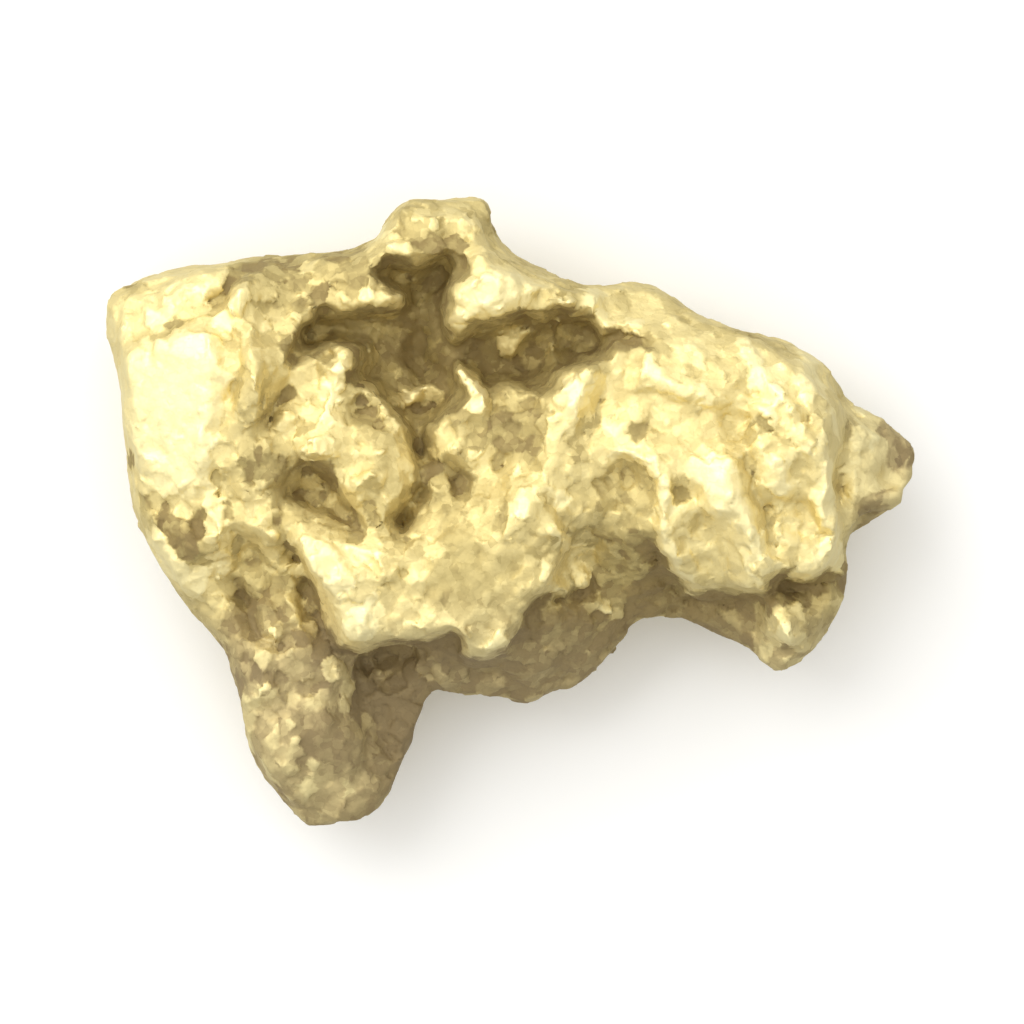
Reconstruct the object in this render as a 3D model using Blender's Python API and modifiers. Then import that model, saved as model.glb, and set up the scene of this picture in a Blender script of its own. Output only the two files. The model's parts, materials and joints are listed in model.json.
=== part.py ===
"""A natural gold nugget, 22 mm long, lying on the worn high points of its back.

It is one piece of native metal, so it is one solid: a flat irregular slab with a knob on
its upper edge, a pointed snout at the right, a claw under it and a thick leg at the lower
left.  A branching hollow is sunk into the face, and the face breaks off in a ledge above
the lower edge.

+X runs along the length, +Y towards the knob and +Z out of the face.  The origin is under
the middle of the box, on the surface that the nugget rests on.  The named sizes are in
millimetres, and the finished mesh is shrunk to metres.
"""

import bpy
import bmesh
import numpy as np
from mathutils import Vector, kdtree, noise

NAME = "nugget"
METRES_PER_MM = 0.001

LENGTH = 22.0  # along X, from the left edge to the tip of the snout
RIM_HEIGHT = 2.8  # of the widest outline above the table
RIM_WAVE = 0.7  # how far that line rises and falls
RIM_WAVE_X = (0.62, 0.6)  # the wave's radians per mm along X, and its start
RIM_WAVE_Y = (0.5, 0.4)  # the same along Y
RIM_EDGE = 0.15  # half the upright band along it
LOW_FACE = 3.2  # height of the face where no mass stands on it
THINNEST = 1.7  # least thickness of the metal under a hollow
THIN_INSET = 2.2  # how far in from the outline a hollow may reach that deep
FOOT_WEAR = 0.06  # depth worn off the high points of the back
HOLLOW_DISH = 0.3  # how much deeper a hollow is 1 mm in from its wall
SLOPE_INSIDE = 0.5  # share of a mass's slope that lies inside its corners
CHANNEL_FLOOR = 0.2  # share of a channel's half width that is its flat floor
FACE_ROUNDING = 0.7  # how far in from the outline the face is rounded over, at its sharpest
BACK_ROUNDING = 2.6  # the same for the back, which curves in more slowly
BACK_HEIGHT = 0.6  # of the back above the table, between its lumps
SLAB_HALF = 1.0  # half the thickness of the plain slab that the nugget is raised from
COARSE_STEP = 0.22  # voxel of that slab
FINE_STEP = 0.16  # voxel of the shaped nugget
WELD_DISTANCE = 0.001  # under which two points are one
TRIANGLES = 9000
RAGGEDNESS = 0.16  # how far the edges on the face wander to either side
RAGGED_LENGTH = 0.9  # length of one such wander
RAGGED_SEED = 7

# The outline seen from above, clockwise from the upper left corner.
OUTLINE = (
    (-10.95, 5.6), (-10.6, 6.05), (-9.6, 6.42), (-8.2, 6.68), (-7.0, 6.86), (-5.6, 6.92),
    (-4.6, 7.0), (-3.95, 7.2), (-3.4, 7.85), (-2.95, 8.36), (-2.5, 8.48), (-1.7, 8.4),
    (-0.85, 8.48), (-0.45, 8.25), (-0.4, 7.45), (0.1, 6.92), (1.1, 6.4), (2.2, 6.08),
    (3.4, 6.16), (4.1, 5.95), (5.0, 5.3), (6.0, 4.95), (7.1, 4.64), (8.1, 4.2),
    (8.75, 3.55), (9.4, 2.88), (10.2, 2.36), (10.8, 1.97), (11.02, 1.55), (10.85, 0.9),
    (10.45, 0.34), (9.8, -0.25), (9.22, -0.8), (9.12, -1.5), (8.95, -2.4), (8.5, -3.25),
    (7.85, -3.98), (7.1, -4.47), (6.5, -4.0), (5.7, -3.4), (4.8, -2.97), (4.0, -2.87),
    (3.35, -3.05), (2.8, -3.7), (2.2, -4.42), (1.3, -4.95), (0.4, -5.15), (-0.6, -5.13),
    (-1.5, -4.87), (-2.1, -4.77), (-2.42, -5.2), (-2.7, -6.1), (-2.95, -7.05), (-3.4, -7.85),
    (-4.1, -8.35), (-5.0, -8.46), (-5.65, -8.42), (-6.2, -7.9), (-6.85, -6.9), (-7.25, -5.9),
    (-7.38, -4.9), (-7.62, -4.1), (-8.15, -3.25), (-8.85, -2.4), (-9.5, -1.45), (-10.0, -0.45),
    (-10.28, 0.6), (-10.42, 2.0), (-10.55, 3.4), (-10.85, 4.7),
)

# Masses that stand on the face: name, height above the table, width of the slope, corners.
MASSES = (
    ("left shoulder", 5.8, 1.7, (
        (-12.0, 7.5), (-6.9, 7.5), (-6.4, 3.5), (-6.7, 0.2), (-7.4, -1.5), (-8.6, -2.2),
        (-10.0, -1.2), (-12.0, 0.5))),
    ("crown", 5.9, 1.0, (
        (-8.0, 7.5), (-3.6, 7.5), (-0.6, 7.4), (2.6, 6.6), (2.6, -0.5), (-2.0, -1.5),
        (-6.2, -1.1), (-7.4, -0.6))),
    ("belly", 6.0, 0.65, (
        (-6.3, 0.0), (-5.7, -1.3), (-5.15, -2.2), (-4.75, -3.0), (-4.55, -3.65), (-3.6, -3.55),
        (-2.7, -3.35), (-1.45, -3.3), (-1.3, -3.9), (-0.4, -3.85), (0.0, -3.35), (0.35, -2.95),
        (0.5, -2.45), (1.4, -2.1), (1.75, -1.1), (1.8, 0.5), (1.0, 2.0), (-5.5, 2.0))),
    ("right flank", 5.6, 0.65, (
        (1.6, 7.0), (4.8, 6.2), (8.6, 4.8), (9.1, 2.6), (8.75, 0.8), (8.9, -0.5),
        (8.8, -1.5), (8.1, -1.9), (7.15, -1.7), (6.75, -2.2), (4.8, -2.25), (4.35, -1.6),
        (3.95, -0.9), (3.75, 0.6), (3.2, 1.4), (2.2, 1.0), (1.4, 1.6))),
    ("saddle", 5.2, 2.0, (
        (1.4, 2.4), (4.4, 2.4), (4.4, -1.0), (3.6, -1.8), (2.4, -1.6), (1.5, -0.8))),
    ("chin", 4.7, 2.2, (
        (-3.2, -2.6), (-2.6, -4.0), (-0.9, -4.2), (0.8, -4.1), (1.9, -3.3), (2.7, -2.2),
        (3.0, -1.2), (0.0, -1.5))),
    ("leg", 4.7, 1.4, (
        (-9.0, -1.2), (-5.2, -0.6), (-4.5, -3.4), (-4.1, -4.4), (-4.25, -5.3), (-3.8, -6.5),
        (-3.3, -7.6), (-4.2, -8.6), (-5.8, -8.8), (-7.6, -6.2), (-7.8, -4.2))),
    ("claw", 4.3, 1.2, (
        (6.4, -1.6), (9.3, -1.2), (8.8, -3.2), (7.6, -4.4), (6.9, -4.3), (6.8, -3.2))),
    ("snout", 4.7, 1.9, (
        (8.2, 4.4), (11.2, 2.2), (11.0, 0.8), (9.3, -0.6), (8.4, -0.6))),
    ("knob", 5.6, 0.8, (
        (-4.1, 6.9), (-3.0, 8.8), (-0.3, 8.8), (-0.3, 6.9))),
)

# Hollows cut into the face: name, depth, width of the wall inside the corners, corners.
HOLLOWS = (
    ("branching hollow", 1.4, 0.30, (
        (-3.75, 6.4), (-3.3, 6.85), (-2.6, 6.55), (-1.8, 7.05), (-1.1, 6.65), (-1.6, 6.1),
        (-1.75, 5.5), (-1.5, 4.65), (-1.15, 5.0), (-0.1, 5.2), (0.5, 5.3), (1.5, 5.35),
        (2.1, 5.15), (2.4, 4.8), (3.2, 4.8), (3.85, 4.4), (2.7, 4.5), (2.5, 4.05),
        (1.25, 3.65), (0.9, 3.1), (-0.4, 3.4), (-0.55, 2.6), (-1.1, 3.6), (-1.5, 3.9),
        (-1.25, 3.0), (-2.3, 2.3), (-2.3, 1.5), (-2.7, 1.5), (-2.8, 2.4), (-3.5, 3.1),
        (-4.3, 3.4), (-4.05, 4.2), (-4.8, 4.35), (-5.9, 4.0), (-5.75, 4.9), (-5.3, 5.45),
        (-4.5, 5.35), (-3.0, 5.48), (-3.0, 5.85), (-3.5, 6.0))),
    ("shaft", 2.0, 0.4, (
        (-3.3, 6.5), (-2.3, 6.3), (-1.5, 6.7), (-1.9, 6.0), (-1.95, 4.6), (-1.7, 3.6),
        (-2.2, 2.9), (-3.1, 3.5), (-3.2, 4.6), (-2.6, 5.3))),
    ("left arm", 1.6, 0.4, (
        (-5.3, 5.1), (-2.8, 5.2), (-2.8, 4.3), (-3.6, 4.0), (-4.5, 4.65), (-5.5, 4.4))),
    ("right arm", 1.6, 0.4, (
        (-1.7, 4.3), (-0.9, 4.7), (0.6, 4.8), (1.8, 5.0), (2.1, 4.3), (1.0, 4.0),
        (0.3, 3.6), (-0.9, 3.7))),
    ("fork, left", 1.6, 0.30, (
        (-2.35, 1.55), (-1.7, 1.5), (-2.2, 0.65), (-2.25, 0.2), (-2.6, -0.1), (-2.55, -0.75),
        (-3.35, -0.65), (-3.25, 0.0), (-2.65, 0.9))),
    ("fork, right", 1.3, 0.30, (
        (-2.2, 1.5), (-1.4, 1.3), (-1.1, 0.9), (-1.1, 0.5), (-1.4, 0.25), (-1.7, 0.7))),
    ("left slot", 0.8, 0.30, (
        (-5.45, 1.6), (-4.7, 1.05), (-4.55, 0.6), (-4.05, 0.05), (-3.85, -0.8), (-4.8, -0.3),
        (-5.7, 0.2), (-6.2, 0.4), (-6.2, 0.85), (-5.8, 1.2))),
)

# Narrow channels in the face: name, depth, half width, line.
CHANNELS = (
    ("neck of the fork", 1.3, 0.35, ((-2.3, 2.9), (-2.5, 2.2), (-2.3, 1.3))),
    ("leg crack", 0.7, 0.28, ((-5.8, -1.2), (-5.5, -1.9), (-5.35, -2.9))),
    ("left pit", 0.4, 0.30, ((-6.5, 2.2), (-6.3, 2.7), (-6.0, 3.2))),
    ("corner crack", 0.5, 0.25, ((-8.3, 5.5), (-7.75, 5.7), (-7.4, 6.3), (-6.8, 6.6))),
        ("shoulder valley", 0.4, 0.45, ((-7.6, 5.0), (-7.3, 3.4), (-7.8, 2.2), (-7.9, 0.9), (-8.2, -0.4))),
    ("flank groove", 0.25, 0.35, ((5.9, 2.6), (6.3, 1.4), (6.6, 0.2), (6.95, -0.8))),
    ("flank hollow", 0.3, 0.90, ((4.9, 0.0), (5.3, -0.8), (5.6, -1.5))),
    ("outer hollow", 0.25, 0.60, ((7.2, 0.2), (7.8, -0.3), (8.2, -0.7))),
    ("snout crease", 0.4, 0.60, ((8.9, 3.0), (8.8, 1.6), (8.9, 0.4))),
    ("back of the leg", 0.5, 0.40, ((-7.4, -1.9), (-7.0, -2.8), (-6.7, -3.4))),
)

# Ridges of the face: name, height, half width, line.
RIDGES = (
    ("shoulder ridge", 0.5, 0.8, ((-7.0, 6.0), (-7.0, 4.6), (-6.8, 3.4))),
    ("island ridge", 0.4, 0.8, ((-4.3, 4.2), (-4.6, 3.2), (-4.9, 2.2), (-5.2, 1.7))),
    ("diagonal ridge", 0.6, 1.2, ((1.8, 3.7), (1.2, 2.4), (0.8, 1.2), (0.2, -0.2))),
    ("lower ridge", 0.5, 0.8, ((0.4, 0.6), (1.1, -0.3), (1.7, -1.0))),
    ("belly rib", 0.5, 1.2, ((-5.4, -1.2), (-4.4, -2.0), (-4.0, -3.2))),
    ("inner flank ridge", 0.3, 0.6, ((3.7, 1.4), (4.05, 0.6), (4.05, -0.8), (4.6, -1.8))),
    ("middle flank ridge", 0.35, 1.0, ((5.2, 1.5), (5.6, 0.5), (6.2, -0.5), (6.5, -1.6))),
    ("outer flank ridge", 0.35, 0.8, ((7.7, 3.6), (7.9, 2.4), (8.4, 1.4), (8.3, 0.2), (8.7, -0.7))),
    ("claw ridge", 0.6, 0.6, ((6.8, -2.3), (7.1, -2.9), (7.5, -3.3), (7.9, -3.6))),
)

# Where the face rounds over more gently towards the outline: name, added reach, radius, centre.
GENTLE_WALLS = (
    ("chin", 1.5, 4.6, (0.2, -5.6)),
    ("leg", 0.9, 3.4, (-3.2, -7.6)),
    ("claw", 0.6, 2.4, (8.2, -4.2)),
    ("bay", 0.7, 2.6, (4.8, -3.6)),
    ("snout", 0.9, 2.8, (10.9, 0.4)),
    ("left foot of the shoulder", 0.9, 3.2, (-9.6, -1.6)),
)

# Broad swellings and dips of the face: name, rise, radius, centre.
FACE_SWELLINGS = (
    ("belly", 0.7, 2.8, (-1.0, -1.9)),
    ("flank", 1.2, 5.0, (5.0, 1.6)),
    ("outer flank", 0.4, 1.8, (8.0, 2.2)),
    ("shoulder", 0.9, 3.2, (-7.8, 3.0)),
    ("island", 0.5, 1.3, (-3.7, 1.2)),
    ("beside the shaft", 0.6, 1.6, (-0.6, 5.6)),
    ("upper left corner", -1.7, 3.2, (-10.4, 6.6)),
    ("left edge", -1.5, 3.0, (-11.2, 0.8)),
    ("upper edge, left", -1.1, 2.6, (-6.0, 7.6)),
    ("upper edge, right", -1.2, 3.4, (3.6, 7.0)),
    ("right brow", -0.9, 2.2, (8.4, 4.8)),
    ("foot of the leg", -1.5, 3.4, (-4.8, -8.8)),
    ("tip of the snout", -1.2, 2.4, (11.2, 1.4)),
)

# The back: lumps reach down to the table and are worn flat there, and dips rise from it.
BACK_SWELLINGS = (
    ("left foot", -1.3, 3.0, (-7.4, 3.2)),
    ("leg foot", -1.3, 2.4, (-5.2, -5.4)),
    ("chin foot", -1.2, 2.3, (0.6, -2.6)),
    ("right foot", -1.3, 2.8, (6.4, 0.2)),
    ("brow foot", -1.2, 2.5, (0.6, 4.0)),
    ("left dip", 1.1, 2.6, (-3.8, 0.4)),
    ("right dip", 0.9, 2.2, (3.6, 1.2)),
    ("under the knob", 1.4, 2.4, (-2.2, 8.2)),
    ("under the snout", 0.9, 2.2, (10.8, 1.4)),
)

# Broken facets all over: name, width of one, how steeply it tilts, seed of its place and tilt.
FACETS = (
    ("broad", 2.6, 0.18, 5),
    ("small", 1.1, 0.15, 11),
)


def clear_scene():
    for item in list(bpy.data.objects):
        bpy.data.objects.remove(item)


def smooth_step(share):
    share = np.clip(share, 0.0, 1.0)
    return share * share * (3.0 - 2.0 * share)


def smooth_ring(corners, steps=4):
    """The closed curve through the corners, with steps points from each to the next."""
    corners = np.array(corners)
    before, after = np.roll(corners, 1, axis=0), np.roll(corners, -1, axis=0)
    beyond = np.roll(corners, -2, axis=0)
    ring = []
    for t in np.arange(steps) / steps:
        ring.append(0.5 * (
            2 * corners + (after - before) * t
            + (2 * before - 5 * corners + 4 * after - beyond) * t ** 2
            + (3 * corners - before - 3 * after + beyond) * t ** 3))
    return np.stack(ring, axis=1).reshape(-1, 2)


def line_distance(plan, line):
    """Distance of each point of the plan from an open line of straight stretches."""
    nearest = np.full(len(plan), np.inf)
    line = np.asarray(line)
    for start, end in zip(line[:-1], line[1:]):
        along, offset = end - start, plan - start
        share = np.clip(offset @ along / (along @ along), 0.0, 1.0)
        gap = offset - share[:, None] * along
        nearest = np.minimum(nearest, np.hypot(gap[:, 0], gap[:, 1]))
    return nearest


def depth_inside(plan, corners):
    """Distance of each point from a closed outline, positive inside it."""
    ring = np.vstack([corners, corners[:1]])
    inside = np.zeros(len(plan), bool)
    for (x0, y0), (x1, y1) in zip(ring[:-1], ring[1:]):
        if y0 == y1:
            continue
        level = (y0 > plan[:, 1]) != (y1 > plan[:, 1])
        inside ^= level & (plan[:, 0] < x0 + (plan[:, 1] - y0) * (x1 - x0) / (y1 - y0))
    distance = line_distance(plan, ring)
    return np.where(inside, distance, -distance)


def quarter_round(inset, reach):
    """0 at the outline, rising as a quarter circle to 1 at reach inside it."""
    return np.sqrt(1.0 - (1.0 - np.clip(inset / reach, 0.0, 1.0)) ** 2)


def ragged(plan):
    """The plan with each point moved a little, so that what is drawn on it gets ragged edges."""
    moved = plan.copy()
    for index, (x, y) in enumerate(plan):
        shift = noise.noise_vector(Vector((x, y, 0.0)) / RAGGED_LENGTH)
        moved[index] += RAGGEDNESS * shift.x, RAGGEDNESS * shift.y
    return moved


def swellings(plan, bumps):
    total = np.zeros(len(plan))
    for _, rise, radius, centre in bumps:
        distance = np.linalg.norm(plan - np.array(centre), axis=1)
        total += rise * smooth_step(1.0 - distance / radius)
    return total


def rim_height(plan):
    """Height of the widest outline above each point of the plan."""
    wave_x = np.sin(RIM_WAVE_X[0] * plan[:, 0] + RIM_WAVE_X[1])
    wave_y = np.cos(RIM_WAVE_Y[0] * plan[:, 1] + RIM_WAVE_Y[1])
    return RIM_HEIGHT + RIM_WAVE * wave_x * wave_y


def face_height(plan, inset, rim):
    """Height of the nugget's face over each point of the plan, before the hollows are cut."""
    plan = ragged(plan)
    height = np.full(len(plan), LOW_FACE)
    for _, top, slope, corners in MASSES:
        share = smooth_step(depth_inside(plan, corners) / slope + SLOPE_INSIDE)
        height = np.maximum(height, LOW_FACE + (top - LOW_FACE) * share)
    height += swellings(plan, FACE_SWELLINGS)
    for _, rise, reach, line in RIDGES:
        height += rise * smooth_step(1.0 - line_distance(plan, line) / reach)
    reach = FACE_ROUNDING + swellings(plan, GENTLE_WALLS)
    return rim + RIM_EDGE + (height - rim - RIM_EDGE) * quarter_round(inset, reach)


def hollow_depth(plan):
    """Depth of the hollows and channels under each point of the plan."""
    plan = ragged(plan)
    sunk = np.zeros(len(plan))
    for _, depth, wall, corners in HOLLOWS:
        inside = depth_inside(plan, corners)
        dish = HOLLOW_DISH * np.clip(inside, 0.0, 1.0)
        sunk = np.maximum(sunk, depth * smooth_step(inside / wall) + dish)
    for _, depth, reach, line in CHANNELS:
        share = smooth_step(1.0 + CHANNEL_FLOOR - line_distance(plan, line) / reach)
        sunk = np.maximum(sunk, depth * share)
    return sunk


def back_height(plan, inset, rim):
    """Height of the nugget's back over each point of the plan."""
    height = BACK_HEIGHT + swellings(plan, BACK_SWELLINGS)
    return rim - RIM_EDGE + (height - rim + RIM_EDGE) * quarter_round(inset, BACK_ROUNDING)


def realised(source):
    """A new mesh object that holds the source as its modifiers leave it."""
    bpy.context.view_layer.update()
    graph = bpy.context.evaluated_depsgraph_get()
    mesh = bpy.data.meshes.new_from_object(source.evaluated_get(graph))
    made = bpy.data.objects.new(NAME, mesh)
    bpy.context.collection.objects.link(made)
    bpy.data.objects.remove(source)
    return made


def modified(obj, kind, **settings):
    """The object as one modifier leaves it."""
    modifier = obj.modifiers.new(kind, kind)
    for key, value in settings.items():
        setattr(modifier, key, value)
    return realised(obj)


def flat_slab(ring):
    """A slab with level faces inside the ring."""
    curve = bpy.data.curves.new(NAME, "CURVE")
    curve.dimensions = "2D"
    curve.fill_mode = "BOTH"
    curve.extrude = SLAB_HALF
    spline = curve.splines.new("POLY")
    spline.points.add(len(ring) - 1)
    for point, (x, y) in zip(spline.points, ring):
        point.co = (x, y, 0.0, 1.0)
    spline.use_cyclic_u = True
    drawn = bpy.data.objects.new(NAME, curve)
    bpy.context.collection.objects.link(drawn)
    slab = realised(drawn)
    weld(slab.data)
    return modified(slab, "REMESH", mode="VOXEL", voxel_size=COARSE_STEP)


def weld(mesh):
    shape = bmesh.new()
    shape.from_mesh(mesh)
    bmesh.ops.remove_doubles(shape, verts=shape.verts, dist=WELD_DISTANCE)
    bmesh.ops.recalc_face_normals(shape, faces=shape.faces)
    shape.to_mesh(mesh)
    shape.free()


def read_points(mesh):
    flat = np.empty(len(mesh.vertices) * 3)
    mesh.vertices.foreach_get("co", flat)
    return flat.reshape(-1, 3)


def write_points(mesh, points):
    mesh.vertices.foreach_set("co", points.ravel())
    mesh.update()


def plan_and_inset(points, ring):
    """The points' places on the plan, and how far in from the outline each lies."""
    plan = points[:, :2].copy()
    return plan, np.maximum(depth_inside(plan, ring), 0.0)


def raise_columns(mesh, ring):
    """Moves each point of the slab along its own column, to between the back and the face."""
    points = read_points(mesh)
    plan, inset = plan_and_inset(points, ring)
    rim = rim_height(plan)
    bottom = back_height(plan, inset, rim)
    top = face_height(plan, inset, rim)
    level = np.clip((points[:, 2] + SLAB_HALF) / (2 * SLAB_HALF), 0.0, 1.0)
    points[:, 2] = bottom + (top - bottom) * level
    write_points(mesh, points)


def cut_hollows(mesh, ring):
    """Sinks the hollows and channels into the face, where the metal is thick enough."""
    points = read_points(mesh)
    plan, inset = plan_and_inset(points, ring)
    rim = rim_height(plan)
    back = back_height(plan, inset, rim)
    floor = rim + (back + THINNEST - rim) * smooth_step(inset / THIN_INSET)
    height = points[:, 2]
    depth = hollow_depth(plan) * smooth_step((height - rim) / RIM_EDGE)
    points[:, 2] = np.maximum(height - depth, np.minimum(height, floor))
    write_points(mesh, points)


def break_facets(mesh, width, tilt, seed):
    """Cuts the surface into cells about width across, each tilted its own way.

    On an upright wall a facet only cuts in, so that the outline keeps its reach.
    """
    points = read_points(mesh)
    normals = np.empty(len(points) * 3)
    mesh.vertices.foreach_get("normal", normals)
    normals = normals.reshape(-1, 3)
    randoms = np.random.default_rng(seed)
    low, high = points.min(axis=0), points.max(axis=0)
    count = int(np.prod((high - low) / width))
    centres = randoms.uniform(low, high, (count, 3))
    tilts = randoms.uniform(-1.0, 1.0, (count, 3)) * tilt
    cells = kdtree.KDTree(count)
    for index, centre in enumerate(centres):
        cells.insert(centre, index)
    cells.balance()
    nearest = np.array([cells.find(point)[1] for point in points])
    rise = ((points - centres[nearest]) * tilts[nearest]).sum(axis=1)
    level = np.abs(normals[:, 2])
    outward, inward = np.maximum(rise, 0.0) * level, np.minimum(rise, 0.0)
    write_points(mesh, points + normals * (outward + inward)[:, None])


def wear_feet(mesh, wear):
    """Wears the back down by wear, flat where it meets the table."""
    points = read_points(mesh)
    points[:, 2] = np.maximum(points[:, 2] - wear, 0.0)
    write_points(mesh, points)


def settle(mesh):
    """Centres the box over the origin, sets its length and shrinks it to metres."""
    points = read_points(mesh)
    low, high = points.min(axis=0), points.max(axis=0)
    points -= ((low[0] + high[0]) / 2, (low[1] + high[1]) / 2, 0.0)
    write_points(mesh, points * (LENGTH / (high[0] - low[0]) * METRES_PER_MM))


def gold():
    material = bpy.data.materials.new("gold")
    material.use_nodes = True
    shader = material.node_tree.nodes["Principled BSDF"]
    shader.inputs["Base Color"].default_value = (0.83, 0.62, 0.25, 1.0)
    shader.inputs["Metallic"].default_value = 1.0
    shader.inputs["Roughness"].default_value = 0.4
    return material


def main():
    clear_scene()
    noise.seed_set(RAGGED_SEED)
    ring = smooth_ring(OUTLINE)
    nugget = flat_slab(ring)
    raise_columns(nugget.data, ring)
    nugget = modified(nugget, "REMESH", mode="VOXEL", voxel_size=FINE_STEP)
    for _, width, tilt, seed in FACETS:
        break_facets(nugget.data, width, tilt, seed)
    cut_hollows(nugget.data, ring)
    wear_feet(nugget.data, 0.0)
    nugget = modified(nugget, "REMESH", mode="VOXEL", voxel_size=FINE_STEP)
    share = TRIANGLES / (2 * len(nugget.data.polygons))
    nugget = modified(nugget, "DECIMATE", ratio=share, use_collapse_triangulate=True)
    wear_feet(nugget.data, FOOT_WEAR)
    settle(nugget.data)
    nugget.name = nugget.data.name = NAME
    nugget.data.materials.append(gold())


if __name__ == "__main__":
    main()
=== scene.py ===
# %% [markdown]
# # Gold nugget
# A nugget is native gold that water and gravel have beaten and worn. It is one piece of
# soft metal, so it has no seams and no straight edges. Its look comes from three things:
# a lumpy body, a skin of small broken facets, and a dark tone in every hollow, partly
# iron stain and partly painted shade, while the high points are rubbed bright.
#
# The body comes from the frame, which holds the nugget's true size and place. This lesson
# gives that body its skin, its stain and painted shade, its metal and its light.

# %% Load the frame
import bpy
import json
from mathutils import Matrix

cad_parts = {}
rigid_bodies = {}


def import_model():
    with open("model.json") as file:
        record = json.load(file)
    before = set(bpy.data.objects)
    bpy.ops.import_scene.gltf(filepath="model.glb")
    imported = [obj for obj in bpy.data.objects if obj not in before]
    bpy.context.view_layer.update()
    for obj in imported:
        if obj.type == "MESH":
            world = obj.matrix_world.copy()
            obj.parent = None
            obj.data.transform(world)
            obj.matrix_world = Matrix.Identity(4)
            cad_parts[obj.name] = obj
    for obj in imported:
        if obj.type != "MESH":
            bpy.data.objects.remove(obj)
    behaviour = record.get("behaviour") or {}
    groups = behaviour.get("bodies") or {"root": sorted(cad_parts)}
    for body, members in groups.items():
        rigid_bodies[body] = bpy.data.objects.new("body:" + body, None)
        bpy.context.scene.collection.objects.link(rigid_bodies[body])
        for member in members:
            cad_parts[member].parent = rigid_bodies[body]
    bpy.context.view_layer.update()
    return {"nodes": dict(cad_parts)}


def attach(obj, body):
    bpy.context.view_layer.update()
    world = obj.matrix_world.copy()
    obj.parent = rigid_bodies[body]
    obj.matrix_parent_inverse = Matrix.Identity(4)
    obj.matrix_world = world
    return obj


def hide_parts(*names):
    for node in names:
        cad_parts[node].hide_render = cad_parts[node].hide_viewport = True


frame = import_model()
solid = frame["nodes"]["nugget"]
print("the solid has", len(solid.data.polygons), "faces")

# %% Blender and numbers
import json
import bpy
import numpy as np
from mathutils import Vector, kdtree, noise

MM = 0.001  # one millimetre, in metres

# %% [markdown]
# ## Camera
# The nugget lies on its back and is looked at from straight above, so up in the picture
# is +Y. A long lens keeps the high parts of the face from spreading over the low ones.

# %% Camera
PICTURE_WIDTH = 27.81 * MM  # what the frame spans at the nugget's widest outline
OUTLINE_HEIGHT = 2.8 * MM
LENS = 250.0

bpy.ops.object.camera_add(rotation=(0.0, 0.0, 0.0))
camera = bpy.context.object
camera.data.lens = LENS
camera.data.clip_start = 1 * MM
distance = PICTURE_WIDTH * LENS / camera.data.sensor_width
camera.location = (0.0, 0.0, OUTLINE_HEIGHT + distance)
bpy.context.scene.camera = camera
print("the camera is", round(distance * 1000), "mm above the outline")

# %% [markdown]
# ## The blank
# The solid is made of flat triangles about half a millimetre across. Real gold has no such
# flats, so the first step is an even, fine skin with the triangles smoothed out of it. A
# voxel remesh gives that, as it does before sculpting. Its smallest step is a tenth of a
# millimetre at life size, so the blank is worked on a thousand times enlarged, where one
# unit is one millimetre, and is brought back to life size at the end.

# %% Helpers: one object active, one modifier applied
def select_only(obj):
    for other in bpy.context.selected_objects:
        other.select_set(False)
    obj.select_set(True)
    bpy.context.view_layer.objects.active = obj


def apply(obj, kind, **settings):
    """Gives the object one modifier and applies it, as with the button in the panel."""
    select_only(obj)
    modifier = obj.modifiers.new(kind.title(), kind)
    for key, value in settings.items():
        setattr(modifier, key, value)
    bpy.ops.object.modifier_apply(modifier=modifier.name)


# %% Make the blank
SKIN_STEP = 0.066  # of the fine skin, in millimetres

nugget = solid.copy()
nugget.data = solid.data.copy()
nugget.name = nugget.data.name = "gold_nugget"
nugget.parent = None
bpy.context.collection.objects.link(nugget)
for key in list(nugget.keys()):
    del nugget[key]
nugget.data.materials.clear()
select_only(nugget)
nugget.scale = (1 / MM, 1 / MM, 1 / MM)
bpy.ops.object.transform_apply(location=False, rotation=False, scale=True)
bpy.ops.object.mode_set(mode="EDIT")
bpy.ops.mesh.select_all(action="SELECT")
bpy.ops.mesh.remove_doubles(threshold=0.001)
bpy.ops.object.mode_set(mode="OBJECT")
apply(nugget, "REMESH", mode="VOXEL", voxel_size=SKIN_STEP)
apply(nugget, "SMOOTH", factor=0.5, iterations=3)
print("the blank has", len(nugget.data.vertices), "points")

# %% [markdown]
# ## Drawing on the plan
# A sculptor would now cut the ledges and raise the ridges with brush strokes, and gild or
# dull each as they go. Here a stroke is a line and a patch is a closed outline, both drawn
# on the plan of the nugget in millimetres. Each has a height, which moves the skin up or
# down, and a tone from -1, deep in brown stain and painted shade, over 0, worn gold, to 1,
# rubbed bright and painted highlight. Much of the dark tone is painted shade, on walls and
# in crevices that turn from the light, and much of the bright tone is painted highlight,
# on faces and ribs that turn to the light at the upper left.
# The back has the same plan as the face, so a mask keeps the drawing on the side that
# looks up.

# %% Helpers: points, normals and the mask of the face
def read(mesh, name="co"):
    """One vector for each point of a mesh, its place or its normal, as an array."""
    flat = np.empty(len(mesh.vertices) * 3)
    mesh.vertices.foreach_get(name, flat)
    return flat.reshape(-1, 3)


def write(mesh, points):
    """Puts the points of a mesh in new places."""
    mesh.vertices.foreach_set("co", points.ravel())
    mesh.update()


def step(share):
    """0 below 0, 1 above 1, and a smooth rise between."""
    share = np.clip(share, 0.0, 1.0)
    return share * share * (3.0 - 2.0 * share)


MASK_SLOPE, MASK_START = 2.0, 0.6  # the mask is 1 for a normal that rises 0.2 or more


def face_mask(normals):
    """1 where the skin looks up, falling to 0 where it starts to look down."""
    return step(normals[:, 2] * MASK_SLOPE + MASK_START)


# %% Helper: ragged edges
RAGGED = ((0.15, 0.45), (0.11, 0.18))  # how far a point wanders, over what length
noise.seed_set(3)


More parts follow.
